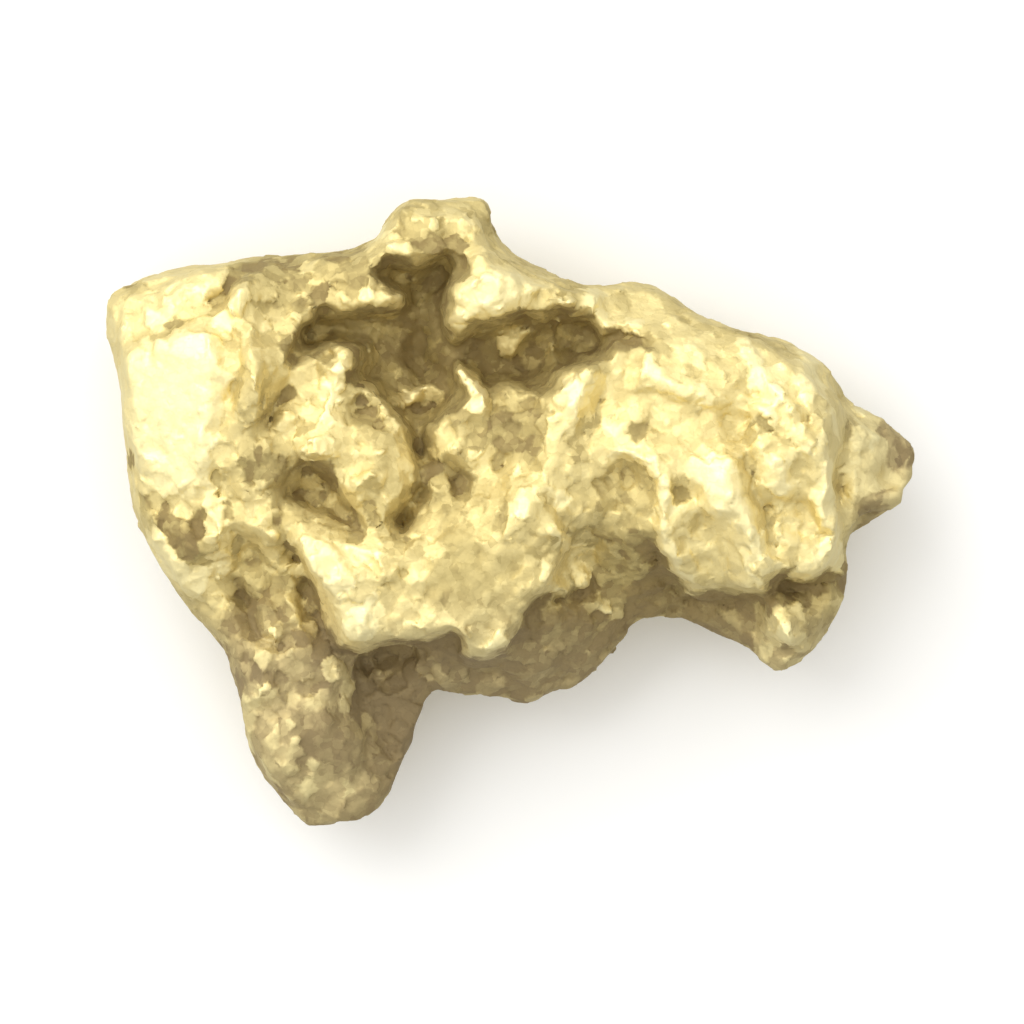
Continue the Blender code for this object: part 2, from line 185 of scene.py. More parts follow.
def ragged(plan):
    """The plan with each point moved a little, so that no line or outline stays smooth."""
    moved = plan.copy()
    for index, (x, y) in enumerate(plan):
        for reach, length in RAGGED:
            shift = noise.noise_vector(Vector((x, y, 0.0)) / length)
            moved[index] += reach * shift.x, reach * shift.y
    return moved


# %% Helpers: distance from a line, inside of an outline
def line_distance(plan, line):
    """Distance of each point from a line, and 1 on the left of it or -1 on the right."""
    line = np.array(line, float)
    least = np.full(len(plan), np.inf)
    side = np.ones(len(plan))
    for start, end in zip(line[:-1], line[1:]):
        along, offset = end - start, plan - start
        share = np.clip(offset @ along / (along @ along), 0.0, 1.0)
        gap = offset - share[:, None] * along
        length = np.hypot(gap[:, 0], gap[:, 1])
        closer = length < least
        least[closer] = length[closer]
        side[closer] = np.sign(along[0] * offset[:, 1] - along[1] * offset[:, 0])[closer]
    return least, side


def inside(plan, outline):
    """True for each point inside the closed outline."""
    x, y = plan.T
    within = np.zeros(len(plan), bool)
    for (x1, y1), (x2, y2) in zip(outline, outline[1:] + outline[:1]):
        crossed = (y1 > y) != (y2 > y)
        within ^= crossed & (x < x1 + (y - y1) * (x2 - x1) / ((y2 - y1) or 1.0))
    return within


def close_to(plan, line, reach):
    """The numbers of the points that a stroke could touch."""
    low, high = np.min(line, axis=0) - reach, np.max(line, axis=0) + reach
    return np.flatnonzero(((plan > low) & (plan < high)).all(axis=1))


def bump(distance, reach):
    """1 on the line, falling smoothly to 0 at reach."""
    share = np.clip(distance / reach, 0.0, 1.0)
    return (1.0 - share * share) ** 2


# %% Helpers: the three kinds of drawing
DOT = 0.01  # the length of a stroke that is drawn as one point, in millimetres
CLIFF = 0.08  # the width of a ledge's cliff, in millimetres
PATCH_TONE, STROKE_TONE = 2.0, 2.5  # how many times sooner the tone is full than the height


class Drawing:
    """The rise and the tone of every point of the skin."""

    def __init__(self, plan):
        self.plan = plan
        self.rise = np.zeros(len(plan))
        self.tone = np.zeros(len(plan))

    def paint(self, touched, tone, share):
        """Brings the tone of the touched points nearer to the given one."""
        self.tone[touched] += share * (tone - self.tone[touched])

    def patch(self, height, tone, edge, *outline):
        """Raises or sinks a closed area, whose border slopes over the edge's width."""
        touched = close_to(self.plan, outline, 0.0)
        near = self.plan[touched]
        share = line_distance(near, outline + outline[:1])[0] / edge * inside(near, outline)
        self.rise[touched] += height * step(share)
        self.paint(touched, tone, step(PATCH_TONE * share))

    def stroke(self, height, tone, reach, *line):
        """Raises a ridge along the line, or with a negative height cuts a groove."""
        line = line if len(line) > 1 else (line[0], (line[0][0] + DOT, line[0][1]))
        touched = close_to(self.plan, line, reach)
        share = bump(line_distance(self.plan[touched], line)[0], reach)
        self.rise[touched] += height * share
        self.paint(touched, tone, step(STROKE_TONE * share))

    def ledge(self, lip, drop, tone, reach, *line):
        """Raises a lip on the left of the line, sinks the foot of the cliff on its right, and
        paints that foot dark as painted shade.
        """
        touched = close_to(self.plan, line, reach)
        distance, side = line_distance(self.plan[touched], line)
        share = bump(distance, reach)
        self.rise[touched] += share * step(distance / CLIFF) * np.where(side > 0, lip, -drop)
        self.paint(touched, tone, step(STROKE_TONE * share) * (side < 0))


# %% What is drawn
washes = []  # of each: tone, width of the edge, outline
patches = []  # height, tone, width of the edge, outline
strokes = []  # height, tone, reach, line
# Each ledge's tone is painted shade at the foot of its cliff.
ledges = []  # rise of the lip, drop of the foot, tone, reach, line


def say_how_much():
    """Prints how much is drawn by now."""
    print("drawn so far:", len(patches), "patches and", len(strokes), "strokes")

# %% [markdown]
# ## Washes
# The broad tones come first, as patches without a height: the left shoulder and the right
# flank are painted bright, as wear and as painted highlight where they face the light at
# the upper left, the belly is a mellow gold, the leg is clouded with stain, and the walls
# under the ledges are painted dark, as stain and painted shade.

# %% Washes
washes += [
    (0.1, 0.6, (-11.2, -4), (-11.2, 8.8), (11.2, 8.8), (11.2, -5), (-3, -9), (-8, -9)),
    # Painted highlight: the left shoulder faces the light and is painted near the top of the tone.
    (0.55, 0.5, (-11.2, 0.2), (-11.2, 7.2), (-7.2, 7.3), (-7.2, 4), (-7.8, 1), (-8.4, -0.2),
     (-9.6, -0.3)),
    (0.95, 0.35, (-10.9, 4), (-9.9, 4.3), (-9, 4.9), (-8, 4.6), (-7.5, 4.2), (-7.6, 3), (-8, 2.2),
     (-8.1, 1), (-8.7, 0.3), (-9.8, 0.8), (-10.6, 1), (-10.8, 2)),
    (-0.4, 0.4, (-7, 7.3), (-6.7, 5.6), (-6.2, 4.2), (-4.8, 5.6), (-3.9, 6.2), (-4, 7.5)),
    (-0.4, 0.3, (-5.2, 7.2), (-5.3, 5.6), (-4.2, 5.6), (-4, 7)),
    (0.08, 0.4, (-7.6, 3.2), (-7.6, 0), (-5, 0.5), (-5, 4), (-6.6, 4.4)),
    (-0.44, 0.4, (-7.2, 2), (-7.2, 0.6), (-6.2, 0.2), (-5.6, 1.2), (-6.2, 2.1)),
    (0.27, 0.5, (0.7, 3.8), (2, 6.6), (7.8, 5), (9, 3.5), (8.9, -2), (4, -1.2), (3.8, 0.9),
     (2, 1.4)),
    (0.05, 0.6, (-5, -0.8), (-3.4, -1), (0.8, 2.8), (2, -0.5), (1.7, -2), (0.3, -3.4), (-3.4, -3.6),
     (-5, -3.2)),
    (-0.12, 0.7, (-2.6, -0.9), (-1.4, -0.3), (-0.2, -0.8), (0.6, -1.8), (-0.2, -3), (-1.8, -2.9),
     (-2.4, -2.2)),
    (-0.4, 0.4, (-1.2, 2.9), (0, 3), (1, 2.8), (0.8, 1.4), (0, 1.2), (-1, 1.6)),
    (0.68, 0.4, (-5.7, -0.4), (-4.4, -0.7), (-3.4, -1.2), (-3.3, -3.4), (-4.7, -3.8), (-5.3, -2.4)),
    (-0.32, 0.5, (1.9, 1), (3.8, 1), (4, -1), (4.4, -2.2), (2.4, -2.6), (1.8, -1.2)),
    (0.62, 0.4, (8.7, 3), (10, 3), (10.2, 0.3), (9, -0.9), (8.6, -0.2), (8.7, 1.6)),
    (0.08, 0.5, (-9.6, -0.8), (-7.4, -0.8), (-5.8, -2), (-5.6, -3.4), (-7.8, -4.6)),
    (0.75, 0.3, (-9.3, -0.6), (-8.3, -0.5), (-7.9, -1.6), (-8.2, -2.4), (-8.9, -2)),
    (-0.62, 0.5, (-8.2, -3), (-6.8, -1.6), (-5.4, -2), (-4, -4), (-3.4, -8.8), (-7.4, -8.8)),
    (-0.5, 0.4, (-7.8, -3.6), (-6.8, -3.4), (-6.4, -5.2), (-6.8, -6.6), (-7.4, -6)),
    (-0.52, 0.4, (-7.2, -1.2), (-6.2, -1), (-5.8, -1.8), (-6, -2.8), (-7, -2.4)),
    (-0.75, 0.3, (-4.4, -6.8), (-3.6, -6.4), (-3.2, -7.2), (-3.4, -8.2), (-4.2, -8.2)),
    (0.35, 0.3, (-7.2, 5), (-6.4, 5), (-6.3, 3.9), (-6.7, 3.6), (-7.1, 4)),
    (-0.3, 0.4, (-6.2, -6.9), (-4.5, -6.8), (-4.2, -7.6), (-4.6, -8.6), (-6.2, -8.6)),
    # Painted shade, with stain: the leg's right wall and the slopes under the belly's and the
    # flank's ledges.
    (-1.2, 0.25, (-3.9, -3.9), (-4.3, -4.7), (-4.1, -5.3), (-3.7, -6.1), (-3.2, -7), (-3, -8.6),
     (-1.8, -8.6), (-2, -3.6)),
    (-0.62, 0.22, (-2.7, -3.5), (-1.4, -3.4), (-1.3, -4), (-0.3, -3.9), (0.1, -3.3), (0.4, -2.9),
     (0.5, -2.4), (1.4, -2.1), (1.9, -1.5), (3, -1.9), (4.2, -1.7), (4.6, -2.2), (6.7, -2.2),
     (6.8, -5), (-2.7, -5.6)),
    (0.2, 0.25, (6.6, -2.2), (7.1, -1.7), (8.1, -1.95), (9.2, -1.5), (9.2, -5), (6.6, -5)),
]
print(len(washes), "washes")

# %% [markdown]
# ## The left shoulder
# The broadest smooth facet of the nugget lies here. A crack crosses its upper corner, a
# valley runs down its right side and a crest stands beyond the valley. Small beads of gold
# sit where the slope runs down towards the leg.

# %% The left shoulder
# The shoulder's brightest tones, up to 1, are painted highlight as well as wear.
patches += [
    (-0.12, -0.3, 0.15, (-10.7, 6), (-10.4, 6.3), (-9.9, 6.3), (-9.85, 5.9), (-10.3, 5.75)),
    (-0.4, -0.65, 0.16, (-8.55, 5.45), (-8.2, 5.7), (-7.95, 6), (-7.6, 6.4), (-7.3, 6.65),
     (-6.7, 6.8), (-6.55, 6.4), (-7.1, 6.25), (-7.4, 6), (-7.55, 5.65), (-7.85, 5.35)),
    (0.28, 0.95, 0.2, (-7.4, 6.15), (-7, 6.15), (-6.95, 5.8), (-7.2, 5.15), (-7.5, 5.1),
     (-7.7, 5.5)),
    (-0.25, 0.02, 0.22, (-7.65, 5), (-7.25, 4.9), (-7.25, 4.3), (-6.95, 3.7), (-7, 3.1),
     (-7.3, 2.9), (-7.5, 2.2), (-7.95, 1.9), (-7.75, 2.9), (-7.55, 3.6), (-7.5, 4.4)),
    (-0.18, -0.92, 0.25, (-10, 0.55), (-9.5, 0.55), (-9.4, 0), (-9, -0.4), (-8.6, -0.1),
     (-8.3, 0.4), (-8.15, -0.5), (-7.95, -1), (-8.3, -1.45), (-8.7, -1.5), (-9.1, -1.15),
     (-9.4, -0.6), (-9.8, -0.1)),
    (0.3, 0.9, 0.18, (-8.2, 0.1), (-7.8, 0.1), (-7.65, -0.8), (-8.15, -0.85)),
    (0.3, 0.9, 0.18, (-7.95, -1.05), (-7.45, -1.05), (-7.45, -1.5), (-7.7, -2), (-7.95, -1.85)),
]
strokes += [
    (-0.2, -0.3, 0.22, (-9.25, 4.75), (-9.1, 4.95), (-8.7, 5.25)),
    (-0.1, 0.15, 0.18, (-9.3, 5.9), (-9.3, 5.2)),
    (0.15, 0.75, 0.3, (-9.8, 5.7), (-9.6, 5.1)),
    (0.15, 0.7, 0.35, (-9, 5.8), (-8.4, 5.8)),
    (-0.1, 0.05, 0.18, (-8.2, 5.1), (-8.2, 4.85)),
    (-0.1, 0.1, 0.22, (-10.2, 5.4), (-10.1, 4.6)),
    (0.3, 0.2, 0.3, (-7.2, 4.95), (-6.95, 4.1), (-6.75, 3.2)),
    (0.2, 0.85, 0.18, (-6.85, 3.6), (-6.8, 3.1)),
    (-0.2, -0.4, 0.16, (-7.6, 4.7), (-7.55, 4.5)),
    (0.15, 0.35, 0.22, (-5.7, 5.85)),
    (0.15, 0.3, 0.25, (-5.5, 6.8), (-5.35, 6.4)),
    (-0.15, -0.2, 0.2, (-6.75, 5.7), (-6.9, 5.3)),
    (0.15, 0.3, 0.28, (-6.2, 5.1), (-5.8, 5.2)),
    (0.25, 0.98, 0.25, (-8.3, 2.1), (-8.2, 1.1), (-8.12, 0.3)),
    (-0.25, -0.35, 0.2, (-7.95, 1.35), (-7.85, 0.8), (-7.85, 0.3)),
    (-0.15, -0.5, 0.32, (-9.85, 0.35), (-9.3, 0.1)),
    (0.12, 1, 0.46, (-9.6, -0.8), (-9.2, -1.4), (-8.5, -1.9)),
    (0.15, 0.35, 0.3, (-7.4, 1.2)),
    (0.2, 0.45, 0.26, (-6.8, 0.6)),
    (-0.2, -0.35, 0.24, (-6.9, 1.2)),
    (0.2, 0.4, 0.4, (-7, -0.2), (-6.6, -0.8)),
    (-0.1, -0.2, 0.2, (-7.4, -0.1)),
    (-0.15, -0.25, 0.18, (-10.3, 1.6), (-10.25, 1.2)),
]
say_how_much()

# %% [markdown]
# ## The branching hollow
# Gold grew here around crystals that are gone. A shaft goes down from the upper edge, an
# arm leaves it on each side, and a channel runs on below. Its border is ragged, blocks of
# bright metal push into it, and thin flakes still cross its floor.

# %% The outline of the hollow
hollow = (
    (-3.75, 6.4), (-3.5, 6.75), (-3.1, 6.9), (-2.85, 6.7), (-2.6, 6.55), (-2.25, 6.8), (-1.8, 7.05),
    (-1.4, 6.95), (-1.1, 6.6), (-1.2, 6.25), (-1.6, 6.1), (-1.75, 5.6), (-1.7, 5), (-1.5, 4.65),
    (-1.3, 4.65), (-1.15, 5), (-0.6, 5.1), (-0.1, 5.2), (0.25, 5.4), (0.5, 5.3), (0.6, 5.05),
    (0.95, 5), (1, 5.4), (1.5, 5.4), (1.65, 5.15), (2, 5.25), (2.35, 4.85), (3, 4.85), (3.6, 4.7),
    (3.9, 4.35), (3.4, 4.45), (2.7, 4.5), (2.6, 4.1), (2.2, 3.95), (1.6, 3.85), (1.25, 3.6),
    (1.1, 3.2), (0.7, 3.05), (0.2, 3.4), (-0.4, 3.4), (-0.45, 2.6), (-0.65, 2.6), (-0.6, 3.3),
    (-1.1, 3.6), (-1.4, 3.95), (-1.55, 3.9), (-1.4, 3.5), (-1.2, 3.1), (-1.4, 2.8), (-1.9, 2.5),
    (-2.3, 2.3), (-2.3, 1.5), (-2.65, 1.5), (-2.7, 2), (-2.85, 2.4), (-3.2, 2.6), (-3.5, 3.1),
    (-3.55, 3.5), (-4.2, 3.3), (-4.4, 3.5), (-4, 3.9), (-4.1, 4.35), (-4.6, 4.45), (-4.85, 4.35),
    (-4.7, 3.95), (-5.2, 4.15), (-5.9, 3.9), (-6.15, 4.1), (-5.75, 4.55), (-5.75, 4.95),
    (-5.3, 5.1), (-5.35, 5.5), (-4.8, 5.5), (-4.5, 5.35), (-4, 5.45), (-3, 5.48), (-2.9, 5.85),
    (-3.4, 5.95), (-3.6, 6.2),
)
# The hollow's floor is painted dark, as stain and painted shade; the stroke along its outline
# paints its steep walls dark as painted shade, and the ledge paints shade at the foot of its lip.
patches += [(-0.60, -0.60, 0.13, *hollow)]
strokes += [(0.0, -0.45, 0.15, *hollow, hollow[0])]
ledges += [(0.20, 0.12, -0.48, 0.45, *hollow, hollow[0])]
print("the hollow's outline has", len(hollow), "corners")

# %% Inside the hollow
patches += [
    (0.45, 0.9, 0.14, (-3.4, 3.2), (-2.9, 3.25), (-2.6, 3.5), (-2.1, 3.45), (-2.05, 3.15),
     (-2.5, 3.1), (-2.6, 2.85), (-3, 2.8), (-3.35, 2.95)),
    (0.4, 0.45, 0.12, (-0.35, 4.5), (-0.1, 4.8), (0.2, 4.95), (0.7, 5.05), (0.85, 4.8), (0.4, 4.7),
     (0.15, 4.5), (0.1, 4), (-0.15, 3.98)),
    (-0.12, -0.5, 0.18, (1, 4.6), (1.7, 4.8), (1.95, 4.4), (1.75, 4), (1.3, 3.95), (1.1, 4.3)),
]
# The darkest strokes, near -1, are painted shade in the deepest crevices, together with stain.
strokes += [
    (0.1, -0.36, 0.32, (-2.45, 5.9), (-2.2, 5), (-2.15, 4.2)),
    (-0.25, -1, 0.17, (-1.85, 6.9), (-1.88, 6), (-1.88, 5.2), (-1.65, 4.6)),
    (0.1, -0.15, 0.24, (-2.9, 6.15)),
    (0.05, -0.3, 0.36, (-4.7, 4.85), (-3.9, 4.8)),
    (0.22, 0, 0.28, (-1.45, 6.5), (-1.25, 6.3)),
    (0.3, -0.1, 0.3, (-3.35, 6.55), (-3.1, 6.4)),
    (-0.2, -0.88, 0.4, (-1.4, 4.3), (-0.7, 3.8), (0.1, 3.75), (0.9, 3.35)),
    (-0.3, -1, 0.3, (-2.7, 2.6), (-2.3, 2.85), (-1.6, 3), (-1.5, 3.5)),
    (-0.15, -0.95, 0.22, (-3.4, 4.5), (-3, 4.1), (-2.8, 3.9)),
    (0.15, 0.05, 0.24, (-3.75, 4.25)),
    (0.1, -0.05, 0.22, (-3.7, 3.6), (-3.3, 3.7)),
    (-0.05, -0.68, 0.25, (-5.1, 5.2), (-4.9, 4.9)),
    (0.1, -0.2, 0.18, (-5.4, 4.75), (-5.1, 4.6)),
    (0.2, 0.45, 0.2, (-4.95, 4.5), (-4.7, 4.35), (-4.4, 4.1)),
    (0.05, -0.3, 0.28, (-5.7, 4.25), (-5.1, 4.2)),
    (-0.15, -0.95, 0.22, (0.65, 4.55)),
    (-0.15, -0.9, 0.18, (1.05, 5.22), (1.5, 5.22)),
    (0.12, -0.35, 0.22, (0.3, 4.1), (1, 4.1)),
    (0.45, -0.2, 0.24, (0.95, 5), (1.05, 4.45), (1.2, 4)),
    (-0.1, -0.85, 0.34, (2.3, 4.6), (2.9, 4.65)),
    (0.12, -0.5, 0.22, (2.1, 4.65)),
    (-0.1, -0.9, 0.2, (2.45, 4.2)),
    (0.15, -0.02, 0.24, (-0.2, 3.2), (0.6, 3.25)),
    (-0.15, -0.45, 0.24, (0.1, 2.85), (0.55, 2.85)),
    (0.45, 0.85, 0.32, (-1.4, 3.85), (-1.05, 3.5), (-0.82, 3.2), (-0.82, 2.75)),
    (0.2, 0.65, 0.12, (-0.02, 4.35), (-0.02, 4.1)),
]
say_how_much()

# %% Around the hollow
patches += [
    (0.3, 0.9, 0.18, (-1.6, 6.05), (-1.2, 6.15), (-0.8, 6.45), (-0.2, 6.5), (0.4, 6.35), (0.85, 6),
     (0.65, 5.7), (0.5, 5.4), (0.2, 5.55), (-0.3, 5.25), (-1, 5.15), (-1.2, 4.85), (-1.35, 4.55),
     (-1.57, 4.8), (-1.67, 5.2)),
    (0.3, 0.95, 0.18, (1.9, 6.05), (2.4, 6), (2.6, 5.4), (2.75, 4.95), (2.4, 4.95), (2.1, 5.3)),
    (-0.12, -0.1, 0.18, (2.5, 6.1), (3.3, 6), (3, 5.55), (2.75, 5.55)),
    (0.3, 0.75, 0.15, (-4.15, 5.6), (-4.1, 6), (-3.8, 6.25), (-3.6, 5.95), (-3.6, 5.58)),
    (0.32, 1, 0.18, (-4.95, 4), (-4.3, 4.15), (-4.05, 3.9), (-4.4, 3.5), (-4.6, 2.9), (-4.7, 2.4),
     (-5.05, 2.1), (-5.05, 3.1), (-5.45, 3.2), (-5.45, 3.45), (-5, 3.6)),
    (0.28, 0.8, 0.16, (-5.5, 2.15), (-4.9, 2.05), (-4.75, 1.6), (-4.8, 1.25), (-5.2, 1.5),
     (-5.6, 1.25), (-5.85, 1.5)),
    (-0.32, -0.5, 0.18, (-6.3, 3.35), (-5.7, 3.35), (-5.85, 3), (-6.2, 2.6), (-6.25, 2.25),
     (-6.6, 2.1), (-6.75, 2.7), (-6.45, 2.9)),
    (-0.3, -0.6, 0.18, (-4.45, 3.1), (-3.95, 3.15), (-3.6, 2.65), (-3.05, 2.1), (-3.6, 2.05),
     (-4, 2.45), (-4.45, 2.45)),
]
strokes += [
    (-0.1, 0.35, 0.22, (-0.8, 5.9), (-0.5, 5.8)),
    (0.28, 0.75, 0.22, (1.1, 5.62), (1.5, 5.6)),
    (-0.1, -0.18, 0.24, (0.75, 5.85), (1, 5.8)),
    (-0.1, -0.2, 0.2, (1.75, 5.95), (1.8, 5.45)),
    (0.2, 0.95, 0.22, (3, 5.05), (3.5, 4.95)),
    (0.1, -0.15, 0.25, (0.1, 6.85), (0.8, 6.5), (1.5, 6.25)),
    (0.3, 0.55, 0.2, (-3.6, 5.72), (-3.05, 5.68)),
    (0.15, 0.25, 0.22, (-4.6, 5.6)),
    (0.28, 0.65, 0.25, (-6, 3.7)),
    (0.28, 0.6, 0.24, (-6, 2.4)),
    (-0.15, -0.75, 0.16, (-6.4, 2.45)),
    (-0.1, -0.22, 0.22, (-5.6, 2.3)),
    (-0.1, -0.15, 0.2, (-5.35, 2.95)),
    (0.28, 0.2, 0.18, (-3.75, 3.25), (-3.35, 2.65), (-2.9, 2.2)),
    (0.2, 0.1, 0.16, (-4.15, 3.2)),
    (0.2, 0.05, 0.2, (-4, 2.3), (-3.8, 2.1)),
    (0.2, 0.4, 0.25, (-4.2, 1.55)),
    (0.2, 0.45, 0.25, (-3.5, 1.7)),
    (-0.12, -0.25, 0.2, (-3.65, 1.25)),
    (0.15, 0.3, 0.22, (-1.75, 1.62)),
    (0.1, 0, 0.45, (-2, 2.1), (-1.5, 2.1)),
    (-0.22, -0.5, 0.17, (-1.3, 1.85), (-1.35, 1.5)),
    (-0.18, -0.5, 0.26, (-1, 2)),
    (-0.15, -0.25, 0.18, (-1, 1.25)),
    (0.18, 0.4, 0.25, (-0.85, 1.5)),
    (-0.1, -0.2, 0.4, (0.2, 2.2), (0.6, 2.1)),
    (-0.2, -0.45, 0.2, (-0.6, 2.75), (-0.5, 2.4)),
]
say_how_much()

# %% The slots and the fork below the hollow
patches += [
    (-0.3, -0.58, 0.13, (-5.45, 1.6), (-5.1, 1.35), (-4.7, 1.05), (-4.55, 0.6), (-4.75, 0.25),
     (-4.95, 0.4), (-5.2, 0.7), (-5.6, 1), (-5.85, 1), (-5.7, 1.3)),
    (-0.25, -0.6, 0.13, (-6.2, 0.85), (-5.8, 0.75), (-5.3, 0.35), (-4.95, 0.05), (-4.4, 0.4),
     (-4.05, 0.05), (-3.85, -0.8), (-4.5, -0.55), (-4.8, -0.3), (-5.2, -0.05), (-5.7, 0.2),
     (-6.2, 0.4)),
    (-0.25, -0.35, 0.13, (-2.35, 1.55), (-1.9, 1.55), (-1.4, 1.3), (-1.1, 0.9), (-1.1, 0.5),
     (-1.4, 0.25), (-1.6, 0.4), (-1.7, 0.7), (-2.2, 0.65), (-2.25, 0.2), (-2.6, -0.1), (-2.7, -0.5),
     (-2.55, -0.75), (-3, -0.9), (-3.35, -0.65), (-3.25, 0), (-3, 0.5), (-2.65, 0.9)),
    (-0.1, -0.85, 0.13, (-2.3, 1.45), (-1.9, 1.5), (-1.4, 1.25), (-1.1, 0.9), (-1.1, 0.5),
     (-1.4, 0.3), (-1.65, 0.45), (-1.75, 0.75), (-2.1, 0.8)),
    (0.32, 0.38, 0.18, (-4.5, 1.15), (-4, 1.1), (-3.5, 1.15), (-3.15, 1), (-3.5, 0.6), (-3.85, 0.5),
     (-4.05, 0.15), (-4.3, 0.4), (-4.5, 0.6)),
]
strokes += [
    (0.3, 0.1, 0.2, (-5.85, 0.9), (-5.4, 0.72), (-5.05, 0.4)),
    (-0.1, -0.35, 0.3, (-6.5, 0.6), (-6.55, 0)),
    (0.2, 0.4, 0.22, (-3.35, 0.25)),
    (-0.15, -0.35, 0.22, (-3.85, 0.3), (-3.7, -0.1)),
    (0.05, -0.7, 0.28, (-2, 0.45), (-1.75, 0.3)),
    (0.2, 0.2, 0.18, (-2.6, -0.35)),
    (-0.15, -0.4, 0.16, (-2.3, -0.15), (-2, -0.4)),
    (-0.25, -0.5, 0.2, (-5.2, -0.9)),
    (0.25, 0.9, 0.22, (-5.85, -0.5), (-5.5, -1.1), (-5.1, -1.6), (-4.85, -2.15)),
    (-0.1, 0.1, 0.16, (-5, -1.85)),
]
say_how_much()

# %% [markdown]
# ## The belly and its ledge
# Below the hollow the face swells into a belly, smooth in the middle. A bright crest runs
# down its right side. It breaks off along a jagged ledge, and the metal under the ledge
# falls away to the lower edge.

# %% The belly and its ledge
# The foot under this ledge is painted dark, as painted shade and stain.
ledges += [
    (0.22, 0.6, -0.78, 0.7, (-4.85, -3.2), (-4.6, -3.7), (-3.9, -3.75), (-3.5, -3.6), (-3.1, -3.45),
     (-2.7, -3.45), (-1.9, -3.35), (-1.5, -3.2), (-1.3, -3.6), (-1.35, -3.95), (-0.9, -4),
     (-0.4, -3.8), (-0.15, -3.8), (0, -3.3), (0.3, -3.1), (0.35, -2.6), (0.6, -2.3), (1, -2.25),
     (1.5, -2.15), (1.85, -2)),
]
patches += [
    (0.28, 0.98, 0.18, (0.15, 0.8), (0.45, 0.8), (0.75, 0.3), (0.5, 0.1), (0.35, -0.35), (0, -0.45),
     (-0.1, 0), (0.2, 0.3)),
    (0.28, 0.98, 0.18, (0.8, -0.15), (1.3, -0.05), (1.5, -0.5), (1.88, -0.65), (1.88, -1.15),
     (1.6, -1.15), (1.3, -0.75), (0.9, -0.6)),
    (-0.3, -0.5, 0.16, (-0.4, 1.65), (-0.1, 1.55), (-0.08, 1.1), (-0.3, 0.92), (-0.7, 1.1),
     (-0.5, 1.4)),
    (-0.25, -0.4, 0.16, (2.05, 0.85), (2.4, 1.05), (2.65, 0.95), (2.65, 0.6), (2.15, 0.55)),
    (0.36, 0.75, 0.15, (1.78, -1.4), (2.08, -1.45), (2.22, -1.8), (2.1, -2.1), (2.5, -2.4),
     (3.05, -2.6), (2.9, -2.85), (2.4, -2.7), (1.95, -2.3), (1.75, -1.9)),
    (-0.28, -0.65, 0.16, (2.7, -0.95), (3.15, -0.95), (3.15, -1.4), (2.85, -1.55)),
    (-0.3, -0.98, 0.2, (3.15, -1.8), (3.9, -1.55), (4.05, -1.9), (3.85, -2.25), (3.4, -2.25)),
    (-0.3, -0.92, 0.18, (-2.8, -3.5), (-2, -3.32), (-1.5, -3.25), (-1.28, -3.6), (-1.4, -3.95),
     (-1.9, -4.05), (-2.6, -3.85)),
]
strokes += [
    (0.22, 0.32, 0.3, (1.2, 2.5), (1.12, 1.7), (0.95, 1.05)),
    (0.22, 0.85, 0.2, (0.2, 1.3), (0, 0.95)),
    (0.22, 0.9, 0.22, (1.15, 0.55), (1.4, 0.2)),
    (-0.15, -0.3, 0.2, (-0.4, 0.5), (-0.1, 0.45)),
    (-0.18, -0.28, 0.25, (3, 1.35), (3.2, 0.85)),
    (-0.12, -0.2, 0.24, (2.7, 1), (3.5, 1.05), (3.75, 0.6)),
    (-0.2, -0.3, 0.26, (1.65, 1.8)),
    (-0.12, -0.1, 0.22, (1.6, 1.3)),
    (-0.15, -0.28, 0.22, (1.6, -0.1), (1.6, -0.5)),
    (-0.12, -0.1, 0.16, (0.92, 0.35)),
    (-0.12, -0.18, 0.3, (0.15, -1.35), (-0.3, -1.7)),
    (-0.1, -0.1, 0.28, (-0.5, -0.95), (-1, -1.2)),
    (-0.22, -0.4, 0.18, (-2.85, -1.5), (-2.85, -2)),
    (-0.18, -0.22, 0.22, (-2.8, -2.15), (-2.2, -2.4)),
    (-0.2, -0.15, 0.22, (-3.75, -1.4), (-3.4, -2), (-3.3, -2.2)),
    (0.12, 0.5, 0.26, (-2.5, -1.8)),
    (0.22, 0.7, 0.28, (-2.15, -2.8)),
    (0.15, 0.45, 0.26, (-2.7, -3.2), (-1.8, -3.1)),
    (0.28, 0.9, 0.25, (-0.45, -3.4), (-0.15, -3.6)),
    (0.15, 0.45, 0.24, (0.1, -3), (0.2, -2.5)),
    (0.2, 0.7, 0.25, (0.9, -1.7), (1.1, -2), (1.4, -2.1)),
    (0.15, 0.98, 0.45, (-4.3, -3.3), (-3.9, -2.9)),
    (0.1, 0.9, 0.45, (-4.4, -1.1), (-3.6, -1.1)),
    (-0.12, -0.35, 0.2, (1.55, -1.75)),
    (0.2, -0.18, 0.36, (3.5, -1.35)),
    (0.12, -0.12, 0.3, (2.5, -1.1), (2.8, -1.8)),
    (-0.18, -0.9, 0.17, (0.15, -3.15), (0.15, -3.75)),
    (-0.15, -0.85, 0.2, (0.5, -2.6)),
    (-0.15, -0.85, 0.28, (1.7, -2.5), (2.3, -2.8)),
    (-0.12, -0.78, 0.24, (1.4, -3.3)),
    (-0.1, -0.75, 0.2, (1.4, -4.4)),
    (0.1, -0.62, 0.4, (2, -3.3), (0.7, -4.2)),
    (0.12, -0.3, 0.22, (-0.35, -4.7)),
    (0.15, 0.05, 0.17, (-1.6, -4.15), (-1, -3.95), (-0.6, -3.9)),
    (-0.2, -0.85, 0.18, (-2.25, -4.2), (-2.2, -4.9)),
    (0.1, -0.35, 0.18, (-2.5, -4.4)),
    (-0.12, -0.8, 0.24, (-2.9, -4.4)),
    (-0.15, -0.85, 0.15, (-0.85, -4.12), (-0.3, -4.05)),
    (-0.12, -0.75, 0.18, (-0.8, -4.7)),
]
say_how_much()

